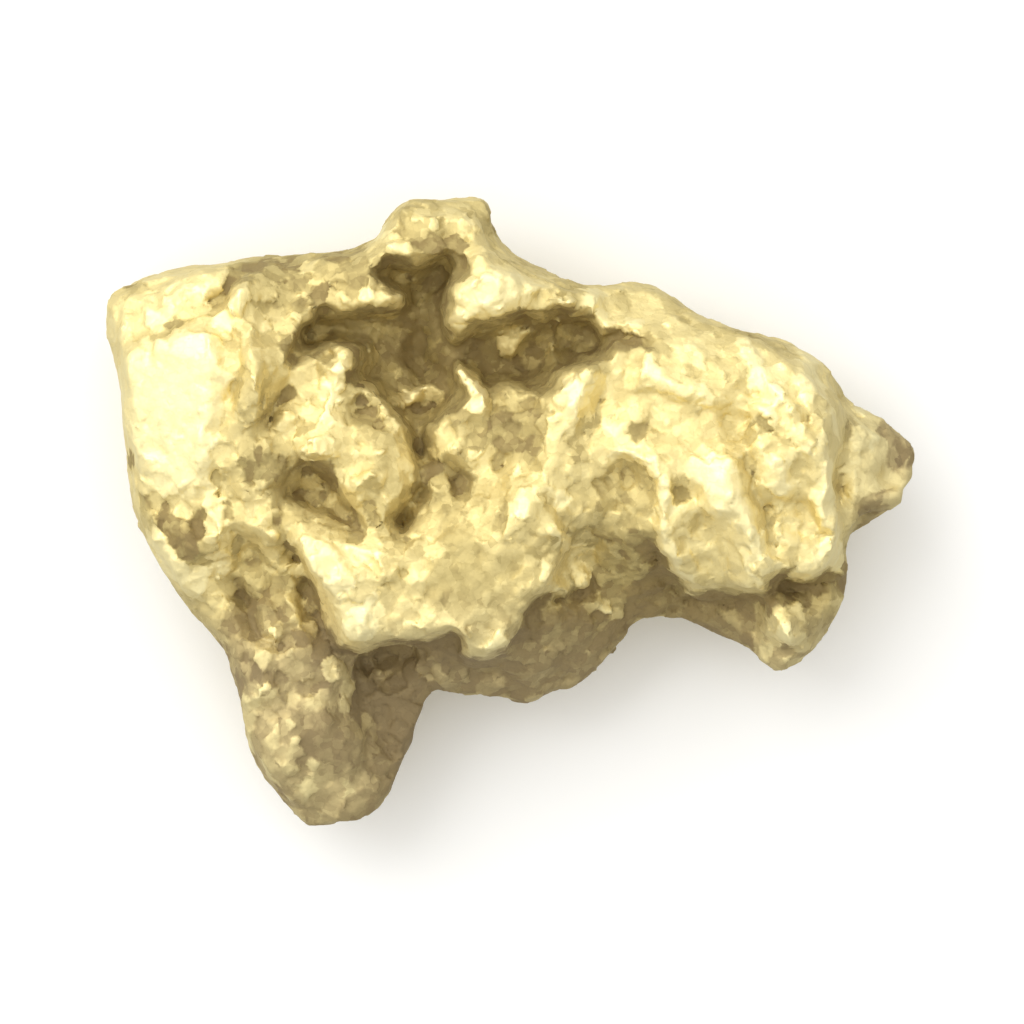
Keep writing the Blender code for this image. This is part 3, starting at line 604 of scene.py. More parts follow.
# %% [markdown]
# ## The right flank
# Upright ribs, rubbed bright and painted bright as highlight where they face the light, with
# shallow troughs between them, cross the flank. It ends in a second ledge, over the bay
# between the belly and the claw; the foot of the ledge is painted dark as shade.

# %% The ribs and the ledge of the flank
# The foot under this ledge is painted dark, as painted shade and stain.
ledges += [
    (0.22, 0.55, -0.85, 0.65, (3.85, -0.9), (4.2, -1.45), (4.6, -1.75), (4.65, -2.2), (5, -2.2),
     (5.4, -2.05), (6.1, -2.2), (6.7, -2.2), (6.85, -1.75), (7.2, -1.65), (7.6, -1.9), (8.1, -1.95),
     (8.3, -1.7), (8.9, -1.65)),
]
patches += [
    (0.28, 1, 0.22, (5.2, 1.75), (5.9, 1.55), (6.05, 1), (6.2, 0.4), (6.55, 0), (6.8, -0.8),
     (6.95, -1.5), (6.7, -2.15), (6.1, -2.1), (6.1, -1), (5.9, -0.2), (5, 0), (4.85, 0.6),
     (4.7, 1.2)),
    (0.22, 0.88, 0.18, (6.4, 2.15), (6.7, 2.05), (7, 1.6), (7.35, 1.45), (7.4, 1), (7.75, 0.8),
     (7.6, 0.45), (7, 0.25), (6.7, 0.6), (6.6, 1.2)),
    (0.2, 0.98, 0.22, (7.5, 4.5), (8, 4.4), (8.45, 4.05), (8.1, 3.7), (8.08, 3), (7.8, 2.85),
     (7.58, 3.2), (7.6, 4)),
    (0.18, 0.98, 0.2, (6.9, -1.6), (7.2, -1.5), (7.6, -1.8), (8.1, -1.9), (8.4, -1.6), (8.95, -1.6),
     (8.95, -0.8), (8.5, -0.6), (8.3, -1), (7.9, -1.1), (7.6, -1.5), (7, -1.2)),
    (-0.2, 0.35, 0.25, (4.9, 0), (4.65, -0.4), (4.3, -0.6), (4.55, -1), (4.9, -1.5), (5.3, -1.8),
     (5.95, -1.75), (6.1, -1), (5.95, -0.3), (5.7, -0.1)),
    (-0.25, -0.38, 0.15, (4.25, 0.95), (4.5, 0.9), (4.85, 0.3), (4.6, 0.15), (4.25, 0.15)),
    (-0.22, -0.32, 0.18, (4.55, 4), (4.85, 4), (5.2, 3.7), (5, 3.45), (4.7, 3.4)),
    (-0.22, -0.38, 0.16, (3, 2.35), (3.3, 2.4), (3.55, 2.55), (4, 2.2), (3.8, 2), (3.3, 2)),
    (-0.1, 0.6, 0.18, (8.02, 3.6), (8.4, 3.9), (8.65, 3.6), (8.4, 3.05), (8.12, 2.95)),
    (-0.15, 0.02, 0.18, (7.35, 1.2), (7.95, 1.7), (8.02, 1), (7.5, 0.95)),
    (-0.12, 0, 0.18, (6.95, 1.9), (7.3, 2.05), (7.75, 2), (7.85, 1.65), (7.3, 1.6)),
    (0.25, 0.95, 0.2, (1.35, 3.65), (2, 3.55), (2.08, 2.8), (1.9, 2.25), (1.5, 2.4), (1.35, 3)),
]
strokes += [
    (0.3, 0.98, 0.25, (3, 1.55), (3.6, 1.42), (4, 0.9), (4.08, 0.2), (4, -0.5), (4.2, -1.2),
     (4.6, -1.65)),
    (0.15, 0.9, 0.18, (4.1, 0.05), (4.8, -0.02)),
    (0.3, 1, 0.28, (6.2, 4.7), (6.4, 4.1), (6.6, 3.7), (7, 3.3), (7.4, 2.7), (7.8, 2), (8.2, 1.7),
     (8.4, 1.2), (8.4, 0.5), (8.15, 0.1), (8.6, -0.4), (8.8, -1.2)),
    (-0.32, -0.2, 0.2, (6.15, 2), (6.25, 1.2), (6.42, 0.6), (6.8, 0.1), (6.9, -0.5), (6.98, -0.9)),
    (-0.12, -0.42, 0.18, (6.75, 0.1), (6.9, -0.05)),
    (-0.2, 0.05, 0.24, (7.2, 0.25), (7.9, 0.1), (8.15, -0.5), (8.3, -0.8)),
    (-0.12, 0.1, 0.16, (8.1, -0.65), (8.25, -0.8)),
    (0.1, 0.45, 0.4, (7.3, -0.6), (7.7, -0.9)),
    (-0.28, -0.32, 0.2, (7.6, 2.95), (7.85, 2.6), (8, 2.1)),
    (-0.28, -0.42, 0.16, (6.3, 2.5), (6.7, 2.3), (7.1, 2.1)),
    (0.18, 0.85, 0.28, (8.4, 2.5)),
    (0.18, 0.85, 0.25, (3.6, 4), (4, 3.6), (4.4, 3.2)),
    (0.15, 0.8, 0.22, (6.55, 2.8), (7, 2.5)),
    (0.15, 0.8, 0.22, (2.3, 3.5), (2.6, 3.15)),
    (0.15, 0.85, 0.2, (2.5, 2.2)),
    (0.15, 0.8, 0.25, (4.9, 3.25), (5.2, 3.05)),
    (0.15, 0.85, 0.28, (4.5, 4.5), (5, 4.3)),
    (0.15, 0.8, 0.25, (4.1, 5.1), (4.5, 5.2)),
    (-0.2, -0.1, 0.22, (2.35, 3.1), (2.3, 2.5), (1.95, 2.1)),
    (-0.12, 0.15, 0.2, (3, 3.8), (3.1, 3.4)),
    (-0.12, 0.2, 0.18, (3.3, 4.1)),
    (-0.18, -0.12, 0.2, (4.7, 1.7), (5.2, 1.5)),
    (-0.1, 0.1, 0.18, (5.35, 2)),
    (-0.12, 0.05, 0.2, (5.75, 2.6), (5.85, 2.1)),
    (-0.12, 0.05, 0.22, (6, 2.1), (6.1, 1.7)),
    (-0.12, -0.05, 0.18, (3.95, 1.4)),
    (-0.1, 0.1, 0.2, (3.45, 0.3)),
    (-0.1, 0.1, 0.16, (4.4, -0.6)),
    (-0.1, 0.1, 0.2, (5.05, -1.65)),
    (-0.15, -0.05, 0.24, (4.8, -0.3), (5.1, -0.2)),
    (-0.18, -0.32, 0.22, (4.4, 5.45), (4.7, 5.25)),
    (-0.12, 0.1, 0.2, (3.8, 5.3)),
    (-0.15, -0.18, 0.2, (6.1, 4.85), (6.5, 4.72)),
    (-0.18, -0.15, 0.22, (6.95, 4.6), (7.2, 4.4), (7.45, 4.15)),
    (-0.12, 0.1, 0.18, (5.6, 4.4)),
    (-0.15, 0.05, 0.2, (6.4, 3.4), (6.5, 3)),
    (-0.12, 0.1, 0.18, (6.9, 2.9)),
    (-0.2, -0.9, 0.25, (4.9, -2.4), (5.4, -2.3), (6, -2.45), (6.6, -2.45)),
    (0.12, -0.45, 0.3, (5.2, -2.8), (6, -2.95)),
    (-0.15, -0.8, 0.25, (4.4, -2), (4.4, -2.6)),
    (0.15, 0.1, 0.14, (4.65, -2.35)),
]
say_how_much()

# %% [markdown]
# ## The snout, the claw, the leg and the knob
# The ends of the nugget are duller than its face. The leg is flecked with small bright
# points, and its right wall is painted dark as shade. The knob at the upper edge has a row
# of pits where it joins the face.

# %% The snout and the claw
patches += [
    (-0.15, -0.7, 0.15, (9.7, 2.45), (10.2, 2.45), (10.3, 2), (9.95, 1.9)),
    (-0.05, -0.75, 0.2, (10.1, 2.2), (10.9, 2.1), (11.1, 1.4), (10.95, 1), (10.4, 1.15),
     (10.3, 1.5)),
    (-0.12, -0.8, 0.14, (9.72, 0.8), (10.12, 0.72), (10.12, 0.42), (9.72, 0.42)),
    (-0.1, -0.55, 0.2, (9.45, 0.45), (10.2, 0.2), (10.1, -0.3), (9.3, -0.9), (9.2, -0.4)),
    (-0.25, -0.95, 0.1, (7.2, -3.68), (7.5, -3.58), (7.85, -3.75), (7.8, -4), (7.35, -4)),
]
strokes += [
    (0, -0.28, 0.4, (-2.1, -4.4), (-1.5, -4.5)),
    (0.18, 0.45, 0.22, (9.45, 2.35)),
    (-0.05, -0.8, 0.22, (10.45, 1.25)),
    (0.08, 0.6, 0.22, (10.15, 1), (10.45, 0.8)),
    (0.15, 0.25, 0.24, (9.7, 1.4), (9.9, 1.1)),
    (-0.15, -0.25, 0.22, (9.1, 2.4), (9, 1.8)),
    (-0.15, -0.2, 0.22, (8.85, 1.2), (8.8, 0.6)),
    (0.12, 0.15, 0.25, (9.2, 0.4), (9, -0.3)),
    (-0.12, -0.2, 0.2, (9.4, 1.6)),
    (-0.2, -0.45, 0.2, (9.15, -1), (9.1, -1.6)),
    (0.3, 0.45, 0.22, (6.85, -2.35), (7.1, -2.8), (7.25, -3.25), (7.5, -3.4), (7.9, -3.6)),
    (0.15, 0.4, 0.22, (7.35, -3.4), (7.8, -3.45)),
    (-0.22, -0.45, 0.18, (7.5, -2.75)),
    (0.15, -0.1, 0.24, (7.2, -2.3), (7.7, -2.4)),
    (-0.18, -0.62, 0.18, (7.7, -3), (8, -3.2)),
    (0.15, -0.05, 0.26, (8.25, -2.95)),
    (0.15, 0.05, 0.22, (8.7, -2.4)),
    (-0.15, -0.65, 0.2, (8.6, -2.85)),
    (-0.15, -0.7, 0.16, (8.9, -1.85)),
    (-0.15, -0.75, 0.24, (6.95, -1.95), (7.8, -2.2)),
    (-0.12, -0.35, 0.22, (8.2, -2.2), (8, -2.6)),
]
say_how_much()

# %% The leg
patches += [
    (-0.4, -0.65, 0.16, (-5.6, -1.35), (-5.3, -1.8), (-5.2, -2.2), (-5.05, -2.5), (-5.1, -2.95),
     (-5.4, -3.05), (-5.62, -2.9), (-5.8, -2.5), (-5.8, -2), (-5.72, -1.6)),
    (-0.35, -0.62, 0.16, (-6.35, -0.15), (-6.1, -0.1), (-5.88, -0.7), (-5.6, -1.3), (-5.75, -1.5),
     (-6.1, -1.3), (-6.32, -0.8)),
    (0.22, 0.35, 0.18, (-5.2, -4.3), (-4.6, -3.95), (-4.2, -4.3), (-4.55, -4.65), (-5, -4.65)),
]
strokes += [
    (0.28, 0.43, 0.25, (-6.4, -3.1), (-6.3, -3.35)),
    (0.28, 0.4, 0.26, (-6.65, -3.8)),
    (0.1, -0.42, 0.3, (-5.5, -3.2), (-5.8, -3.9)),
    (0.32, 0.56, 0.28, (-7.1, -5.1), (-6.6, -4.85)),
    (0.22, 0.15, 0.3, (-5.6, -4.95), (-5.4, -5.2)),
    (0.2, 0.14, 0.28, (-6, -5.65)),
    (0.25, 0.4, 0.25, (-5.3, -6.8)),
    (0.22, 0.22, 0.26, (-5.4, -7.1), (-5.55, -7.6)),
    (0.18, 0.11, 0.22, (-5.85, -6.2), (-5.98, -6.9)),
    (0.2, 0.22, 0.22, (-4.4, -4.8), (-4.45, -5.2)),
    (0.15, 0.06, 0.24, (-5, -5.1)),
    (0.15, 0.25, 0.22, (-7.25, -5.5), (-7.15, -6.3)),
    (0.12, 0.12, 0.22, (-6.8, -6.9), (-6.4, -7.2)),
    (0.15, 0.01, 0.24, (-6.4, -5.9), (-6.5, -6.3)),
    (0.2, 0.34, 0.22, (-5.95, -1.5), (-6, -2)),
    (0.12, 0.14, 0.3, (-5.95, -2.3), (-5.8, -2.9)),
    (0.12, 0.09, 0.24, (-7.1, -1.75)),
    (0.1, 0.09, 0.2, (-6.6, -2.2)),
    (0.1, -0.1, 0.24, (-7.6, -2.6)),
    (-0.1, -0.22, 0.35, (-6.6, -1.5), (-6.5, -2.7)),
    (-0.38, -0.65, 0.22, (-7.45, -1.85), (-7.3, -2.2), (-7.05, -2.6), (-6.9, -3.25)),
    (-0.2, -0.55, 0.22, (-6.25, -6.7)),
    (-0.15, -0.4, 0.28, (-6.7, -5.4), (-6.85, -5.7)),
    (-0.15, -0.45, 0.16, (-5.2, -4.65), (-5.6, -4.75)),
    (-0.18, -0.48, 0.22, (-6.3, -3.9), (-6.05, -3.35)),
    (-0.12, -0.38, 0.2, (-6, -5.98)),
    (-0.12, -0.38, 0.22, (-5.5, -6.3)),
    (-0.12, -0.42, 0.22, (-4.5, -5.7)),
    (-0.12, -0.45, 0.24, (-4.3, -7.4), (-4.3, -8)),
    (-0.1, -0.25, 0.24, (-5.8, -8.1), (-5, -8.3)),
    # Painted shade on the leg's right wall.
    (-0.35, -1, 0.26, (-4, -4.2), (-4.1, -4.7), (-4.1, -5.2)),
    (0.18, -0.1, 0.2, (-3.75, -4), (-3.65, -4.35)),
    (-0.15, -0.8, 0.25, (-3.2, -3.85)),
    (-0.18, -0.9, 0.16, (-3.8, -4.6), (-3.4, -4.68), (-3, -4.85)),
    (-0.28, -0.95, 0.2, (-3.55, -6.1), (-3.1, -6.7)),
    (0.15, -0.5, 0.18, (-3.85, -6.2), (-3.4, -6.85)),
    (-0.12, -0.65, 0.22, (-3.2, -7.2)),
    (0.12, -0.4, 0.17, (-3.9, -7.8)),
    (-0.12, -0.62, 0.2, (-3.55, -7.75)),
]
say_how_much()

# %% The knob
patches += [
    (-0.25, -0.6, 0.16, (-2.62, 7.3), (-2.35, 7.65), (-2.18, 7.4), (-2.28, 7.1), (-2.72, 7.05)),
]
strokes += [
    (-0.15, -0.28, 0.26, (-2.95, 7.7), (-2.85, 7.45)),
    (-0.28, -1, 0.25, (-1.95, 7.36), (-1.75, 7.38)),
    (-0.25, -0.65, 0.19, (-1.35, 7.15), (-1.05, 7.25)),
    (-0.22, -0.5, 0.24, (-0.55, 8), (-0.65, 7.5)),
    (0.2, 0.85, 0.25, (-3.5, 7.55), (-3.2, 7.15)),
    (0.18, 0.42, 0.22, (-2.5, 7.85), (-1.8, 7.78)),
    (0.15, 0.5, 0.3, (-1.6, 8.1), (-1.2, 7.7)),
    (0.2, 0.4, 0.2, (-2.85, 7.05), (-2.6, 6.75)),
    (0.18, 0.7, 0.3, (-0.8, 6.85), (-0.7, 6.6)),
    (0.15, 0.45, 0.25, (-0.95, 7.6)),
    (0.1, -0.1, 0.22, (-2.8, 8.2), (-2, 8.25)),
    (-0.12, -0.15, 0.24, (-3.9, 7.1), (-4.3, 6.9)),
]
say_how_much()

# %% [markdown]
# ## The broken skin
# Gold tears and dents instead of breaking cleanly, which leaves a skin of flat facets that
# tilt every way. Each facet is the part of the skin nearest to one point of a loose cloud.
# It is pressed towards its own mean plane, leans a little and has its own slight tone. A
# ragged warp keeps its borders from being straight. The broad facets come before the
# drawing, so that the drawn edges stay sharp, and the small ones after it.

# %% Helpers: nearest points, wandering borders, means over cells
BORDER_WANDER, WANDER_LENGTH = 0.16, 0.40  # of a facet's border, in millimetres


def nearest(points, others):
    """For each of the others, the number of the point that lies nearest to it."""
    tree = kdtree.KDTree(len(points))
    for index, point in enumerate(points):
        tree.insert(point, index)
    tree.balance()
    return np.array([tree.find(other)[1] for other in others])


def wandered(points):
    """Each point moved a little, so that no border between two facets is straight."""
    for point in map(Vector, points):
        yield point + BORDER_WANDER * noise.noise_vector(point / WANDER_LENGTH)


def cell_means(cells, count, vectors):
    """The mean of the vectors in each cell."""
    sizes = np.maximum(np.bincount(cells, minlength=count), 1)
    return np.stack([np.bincount(cells, values, count) / sizes for values in vectors.T], axis=1)


# %% Helper: facets
DEEPEST_PRESS = 0.16  # that a facet may move any point, in millimetres


def facets(points, normals, width, flatness, lean, mottle, seed):
    """How each point moves to its facet, its change of tone, and the number of the facet."""
    randoms = np.random.default_rng(seed)
    low, high = points.min(axis=0) - width, points.max(axis=0) + width
    count = int(np.prod((high - low) / width))
    centres = randoms.uniform(low, high, (count, 3))
    leans = randoms.normal(0.0, lean, (count, 3))
    tones = randoms.normal(0.0, mottle, count)
    cells = nearest(centres, wandered(points))
    middles = cell_means(cells, count, points)
    facing = cell_means(cells, count, normals) + leans
    facing /= np.linalg.norm(facing, axis=1)[:, None]
    gap = flatness * ((middles[cells] - points) * facing[cells]).sum(axis=1)
    moves = np.clip(gap, -DEEPEST_PRESS, DEEPEST_PRESS)[:, None] * facing[cells]
    return moves, tones[cells], cells


# %% Helper: break the skin
RUBBED = (  # how much of the facets is rubbed away, radius, centre
    (0.8, 2.6, (-9.0, 3.2)), (0.7, 2.4, (-0.8, -1.9)), (0.55, 2.4, (-5.0, -6.4)),
    (0.4, 1.6, (9.6, 1.4)), (0.5, 2.6, (4.2, 3.4)), (0.5, 1.8, (7.0, 1.0)),
    (0.5, 1.8, (5.2, 0.0)), (0.5, 1.6, (-2.2, 5.0)), (0.9, 1.5, (10.7, 0.8)),
)
RUBBED_TONE = 0.6  # of a facet's own tone goes where it is rubbed away
UPRIGHT = 0.65  # of the facets is left out where the skin is upright, to keep the outline


def break_skin(mesh, sizes):
    """Presses the skin into facets of each size. Returns each point's tone and last facet."""
    points, normals = read(mesh), read(mesh, name="normal")
    rubbed = np.zeros(len(points))
    for amount, radius, centre in RUBBED:
        rubbed += amount * bump(np.linalg.norm(points[:, :2] - centre, axis=1), radius)
    rubbed = np.minimum(rubbed, 1.0)
    keep = (1.0 - rubbed) * (1.0 - UPRIGHT * (1.0 - np.abs(normals[:, 2])))
    mottled = np.zeros(len(points))
    for size in sizes:
        moves, tones, cells = facets(points, normals, *size)
        points = points + keep[:, None] * moves
        mottled += tones
    points[:, 2] = np.maximum(points[:, 2], 0.0)
    write(mesh, points)
    return mottled * (1.0 - RUBBED_TONE * rubbed), cells


# %% [markdown]
# Three places on the face are worn to one plane each: the left shoulder, the belly and the
# foot of the flank. They are pressed flat first, so that they break off sharply at the
# ledges.

# %% Worn flats
FLATS = (  # flatness, width of the border, outline
    (0.85, 0.6, (-10.6, 4.6), (-9.4, 5.1), (-8, 4.9), (-7.6, 4), (-7.7, 2.6), (-8.1, 1), (-8.4, 0),
     (-9.6, 0.1), (-10.3, 1.4)),
    (0.65, 0.3, (-2.6, -0.9), (-1.4, -0.3), (-0.2, -0.8), (1, -1.5), (1.2, -2.2), (0.55, -2.4),
     (0.2, -3.2), (-0.1, -3.9), (-1.3, -4), (-1.4, -3.3), (-2.8, -3.55), (-3.4, -3.6),
     (-3.4, -2.2)),
    (0.5, 0.3, (4.2, -0.6), (6.2, -0.6), (6.9, -1.4), (6.8, -2.2), (6.1, -2.25), (5.4, -2.1),
     (4.7, -2.25), (4.5, -1.7)),
)
LOOKS_UP = 0.3  # the least rise of a normal that is worn with the flat

apply(nugget, "REMESH", mode="VOXEL", voxel_size=SKIN_STEP)
points, normals = read(nugget.data), read(nugget.data, name="normal")
for flatness, border, *outline in FLATS:
    plan, height = points[:, :2], points[:, 2]
    worn = inside(plan, outline) & (normals[:, 2] > LOOKS_UP)
    terms = np.column_stack([plan, np.ones(len(plan))])
    plane = terms @ np.linalg.lstsq(terms[worn], height[worn], rcond=None)[0]
    share = step(line_distance(plan, outline + outline[:1])[0] / border) * worn
    points[:, 2] += flatness * share * (plane - height)
    print("a flat of", round(float(worn.sum()) * SKIN_STEP ** 2, 1), "square mm")
write(nugget.data, points)

# %% Broad facets
# Of each size: width, flatness, lean, spread of tone, and the seed of its random draws.
BROAD_FACETS = ((1.2, 0.65, 0.11, 0.06, 21), (0.62, 0.90, 0.15, 0.12, 22))

broad_tone = break_skin(nugget.data, BROAD_FACETS)[0]
print("the broad facets vary the tone by", round(float(broad_tone.std()), 2))

# %% Draw everything on the face
RELIEF = 0.6  # of the heights as drawn
# How far the tip of the snout is pulled towards +X, over what reach, around what centre.
PULLS = ((0.24, 0.50, (10.5, 0.98)), (-0.20, 0.35, (10.8, 0.45)))
HIGH, SQUASH = 6.8, 0.6  # crests keep this share of what stands above that height

points, normals = read(nugget.data), read(nugget.data, name="normal")
for pull, reach, centre in PULLS:
    points[:, 0] += pull * bump(np.linalg.norm(points[:, :2] - centre, axis=1), reach)
drawing = Drawing(ragged(points[:, :2]))
for tone, edge, *outline in washes:
    drawing.patch(0.0, tone, edge, *outline)
for height, tone, edge, *outline in patches:
    drawing.patch(height, tone, edge, *outline)
for height, tone, reach, *line in strokes:
    drawing.stroke(height, tone, reach, *line)
for lip, drop, tone, reach, *line in ledges:
    drawing.ledge(lip, drop, tone, reach, *line)
points[:, 2] += RELIEF * drawing.rise * face_mask(normals)
points[:, 2] -= (1.0 - SQUASH) * np.maximum(points[:, 2] - HIGH, 0.0)
drawn = points.copy()
drawn_tone = drawing.tone * face_mask(normals) + broad_tone
write(nugget.data, points)
print("the drawing reaches from and to", np.round([drawing.rise.min(), drawing.rise.max()], 2))

# %% Small facets
SMALL_FACETS = ((0.42, 1.00, 0.12, 0.12, 23),)  # the same five values as for the broad ones

apply(nugget, "REMESH", mode="VOXEL", voxel_size=SKIN_STEP)
small_tone, cells = break_skin(nugget.data, SMALL_FACETS)
print("the nugget has", len(nugget.data.vertices), "points in", len(np.unique(cells)), "facets")

# %% [markdown]
# ## Wear, stain and painted shade
# The tone is darkened where the skin lies below its own smoothed shape, as stain and as
# painted shade in the recesses, and brightened where the skin stands above, as wear. Both
# are measured here on the fine skin: at a small scale everywhere, and at a broad one on the
# sides and the back, where nothing was drawn. They darken or brighten the tone, which is
# then evened out over each small facet.

# %% Helper: smoothed positions
def smoothed(mesh, points, rounds):
    """The points after that many rounds of moving halfway to the mean of their neighbours."""
    flat = np.empty(len(mesh.edges) * 2, np.int32)
    mesh.edges.foreach_get("vertices", flat)
    first, second = flat.reshape(-1, 2).T
    count = len(points)
    ties = np.bincount(first, minlength=count) + np.bincount(second, minlength=count)
    for _ in range(rounds):
        moved = np.empty_like(points)
        for axis in range(3):
            value = points[:, axis]
            moved[:, axis] = (np.bincount(first, value[second], count)
                              + np.bincount(second, value[first], count))
        points = 0.5 * points + 0.5 * moved / ties[:, None]
    return points


# %% Measure the shelter and mix the tone
FINE_ROUNDS, BROAD_ROUNDS = 12, 130
FINE_FULL, BROAD_FULL = 0.05, 0.2  # the shelter that counts in full, in millimetres
FINE_SHADE, BROAD_SHADE = 0.16, 0.35  # how much full shelter darkens the tone
LEVELLED = 0.85  # of the tone is evened out over each small facet

points, normals = read(nugget.data), read(nugget.data, name="normal")
fine = ((smoothed(nugget.data, points, FINE_ROUNDS) - points) * normals).sum(axis=1)
broad = ((smoothed(nugget.data, points, BROAD_ROUNDS) - points) * normals).sum(axis=1)
print("shelter: fine", np.round(np.percentile(fine, (5, 50, 95)), 3),
      "broad", np.round(np.percentile(broad, (5, 50, 95)), 3))

toned = drawn_tone[nearest(drawn, points)]
# Painted shade and stain in the recesses, and wear on what stands out.
toned -= FINE_SHADE * np.clip(fine / FINE_FULL, -1.0, 1.0)
level = cell_means(cells, cells.max() + 1, toned[:, None])[cells, 0]
toned += LEVELLED * (level - toned) + small_tone
# The broad measure paints shade and stain into the hollows of the sides and the back.
toned -= BROAD_SHADE * (1.0 - face_mask(normals)) * np.clip(broad / BROAD_FULL, -1.0, 1.0)
toned = np.clip(toned, -1.0, 1.0)
print("tone", np.round(np.percentile(toned, (5, 25, 50, 75, 95)), 2))

# %% [markdown]
# ## Finish the mesh
# Flat stretches need fewer triangles than ridges do, so the skin is thinned by Decimate.
# Where it folds a sliver flat, it can leave a loose scrap, which is deleted. The tone is
# carried over from the nearest point of the full skin.

# %% Helper: leave no strays
def leave_no_strays(obj):
    """Deletes what isn't joined to the object's highest point."""
    select_only(obj)
    before = len(obj.data.vertices)
    bpy.ops.object.mode_set(mode="EDIT")
    bpy.ops.mesh.select_mode(type="VERT")
    bpy.ops.mesh.select_all(action="DESELECT")
    bpy.ops.object.mode_set(mode="OBJECT")
    obj.data.vertices[int(read(obj.data)[:, 2].argmax())].select = True
    bpy.ops.object.mode_set(mode="EDIT")
    bpy.ops.mesh.select_linked()
    bpy.ops.mesh.select_all(action="INVERT")
    bpy.ops.mesh.delete(type="VERT")
    bpy.ops.object.mode_set(mode="OBJECT")
    print("took away", before - len(obj.data.vertices), "stray points")


# %% Thin the skin and bring it to life size
MOST_TRIANGLES = 190000

triangles = 2 * len(nugget.data.polygons)  # the skin's faces have four corners
apply(nugget, "DECIMATE", ratio=MOST_TRIANGLES / triangles, use_collapse_triangulate=True)
leave_no_strays(nugget)
kept = nearest(points, read(nugget.data))
attribute = nugget.data.attributes.new("tone", "FLOAT", "POINT")
attribute.data.foreach_set("value", toned[kept].astype(np.float32))
nugget.scale = (MM, MM, MM)
select_only(nugget)
bpy.ops.object.transform_apply(location=False, rotation=False, scale=True)
bpy.ops.object.shade_smooth()
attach(nugget, "root")
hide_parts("nugget")
print("the nugget has", len(nugget.data.polygons), "triangles")

# %% [markdown]
# ## Shader maths
# A small class lets shader values be added and multiplied like numbers, and one method
# makes every other node.

# %% Wiring
class Value:
    """A socket that Python's operators can work on, each adding one Math node."""

    def __init__(self, wiring, socket):
        self.wiring = wiring
        self.socket = socket

    def other(self, name):
        """Another output of the node that this value comes from."""
        return Value(self.wiring, self.socket.node.outputs[name])

    def math(self, operation, *values):
        """One Math node on the values, in the order of its sockets."""
        sockets = dict(enumerate(values))
        return self.wiring.node("ShaderNodeMath", {"operation": operation}, sockets)

    def __add__(self, other):
        return self.math("ADD", self, other)

    def __radd__(self, other):
        return self.math("ADD", other, self)

    def __sub__(self, other):
        return self.math("SUBTRACT", self, other)

    def __rsub__(self, other):
        return self.math("SUBTRACT", other, self)

    def __mul__(self, other):
        return self.math("MULTIPLY", self, other)

    def __rmul__(self, other):
        return self.math("MULTIPLY", other, self)


class Wiring:
    """The node tree of one material or of the world."""

    def __init__(self, tree):
        self.tree = tree
        self.tree.nodes.clear()

    def node(self, kind, settings, sockets, output=0):
        """Adds a node with its settings, then its values and links. Returns one output."""
        made = self.tree.nodes.new(kind)
        for key, value in settings.items():
            if key == "stops":
                self.set_stops(made.color_ramp, value)
            else:
                setattr(made, key, value)
        for key, value in sockets.items():
            if isinstance(value, Value):
                self.tree.links.new(value.socket, made.inputs[key])
            else:
                made.inputs[key].default_value = value
        return Value(self, made.outputs[output]) if made.outputs else made

    def vector(self, operation, *values, output="Vector", **sockets):
        """Vector maths on the values, in the order of the node's sockets."""
        sockets = {**dict(enumerate(values)), **sockets}
        return self.node("ShaderNodeVectorMath", {"operation": operation}, sockets, output)

    def dot(self, first, second):
        """How far the first vector goes along the second, times the second's length."""
        return self.vector("DOT_PRODUCT", first, second, output="Value")

    def set_stops(self, ramp, stops):
        """Gives a colour ramp its stops, each a position and a colour."""
        while len(ramp.elements) < len(stops):
            ramp.elements.new(1.0)
        for element, (position, colour) in zip(ramp.elements, stops):
            element.position = position
            element.color = (*colour, 1.0)

    def between(self, value, low, high, first=0.0, last=1.0):
        """First where the value is low, last where it is high, and a smooth rise between."""
        sockets = {"Value": value, "From Min": low, "From Max": high,
                   "To Min": first, "To Max": last}
        return self.node("ShaderNodeMapRange", {"interpolation_type": "SMOOTHSTEP"}, sockets)


def new_wiring(name):
    """A new material with an empty node tree."""
    material = bpy.data.materials.new(name)
    material.use_nodes = True
    return material, Wiring(material.node_tree)


print("wiring is ready")

# %% [markdown]
# ## The gold
# Native gold with some silver is pale yellow. It is worn matt, so its roughness is high
# for a metal and lower on the rubbed high points. The stain is a thin dull coat of iron
# oxide and clay: brown, rough and hardly metallic. The same dark end of the ramp also
# colours the painted shade, and its pale end the painted highlights. One ramp runs from the
# one to the other along the tone.

# %% Gold and its colours
# Both ramps run from deep stain and painted shade at 0 over worn gold at 0.5 to rubbed
# gold and painted highlight at 1.
RAMP = (0.0, 0.18, 0.38, 0.55, 0.78, 1.0)
GOLD_TONES = (
    (0.225, 0.160, 0.056), (0.31, 0.232, 0.088), (0.57, 0.470, 0.205),
    (0.74, 0.622, 0.290), (0.91, 0.780, 0.386), (1.0, 0.885, 0.485),
)
DUSTY_TONES = (
    (0.225, 0.166, 0.076), (0.31, 0.236, 0.112), (0.56, 0.460, 0.236),
    (0.72, 0.615, 0.316), (0.87, 0.755, 0.395), (0.97, 0.875, 0.50),
)

gold, wiring = new_wiring("native gold")
place = wiring.node("ShaderNodeTexCoord", {}, {}, "Object")
in_mm = wiring.vector("SCALE", place, Scale=1 / MM)
tone = wiring.node("ShaderNodeAttribute", {"attribute_name": "tone"}, {}, "Fac")
print("the tone reads the attribute", nugget.data.attributes["tone"].name)

# %% [markdown]
# Under the facets that are cut in the mesh, the metal is broken once more into facets of a
# few tenths of a millimetre. Voronoi cells make them. A cell's colour is random, so its
# middle gives a slight tone, and it also leans the cell: the height at a point is how far
# the point lies from the cell's centre along that random direction.

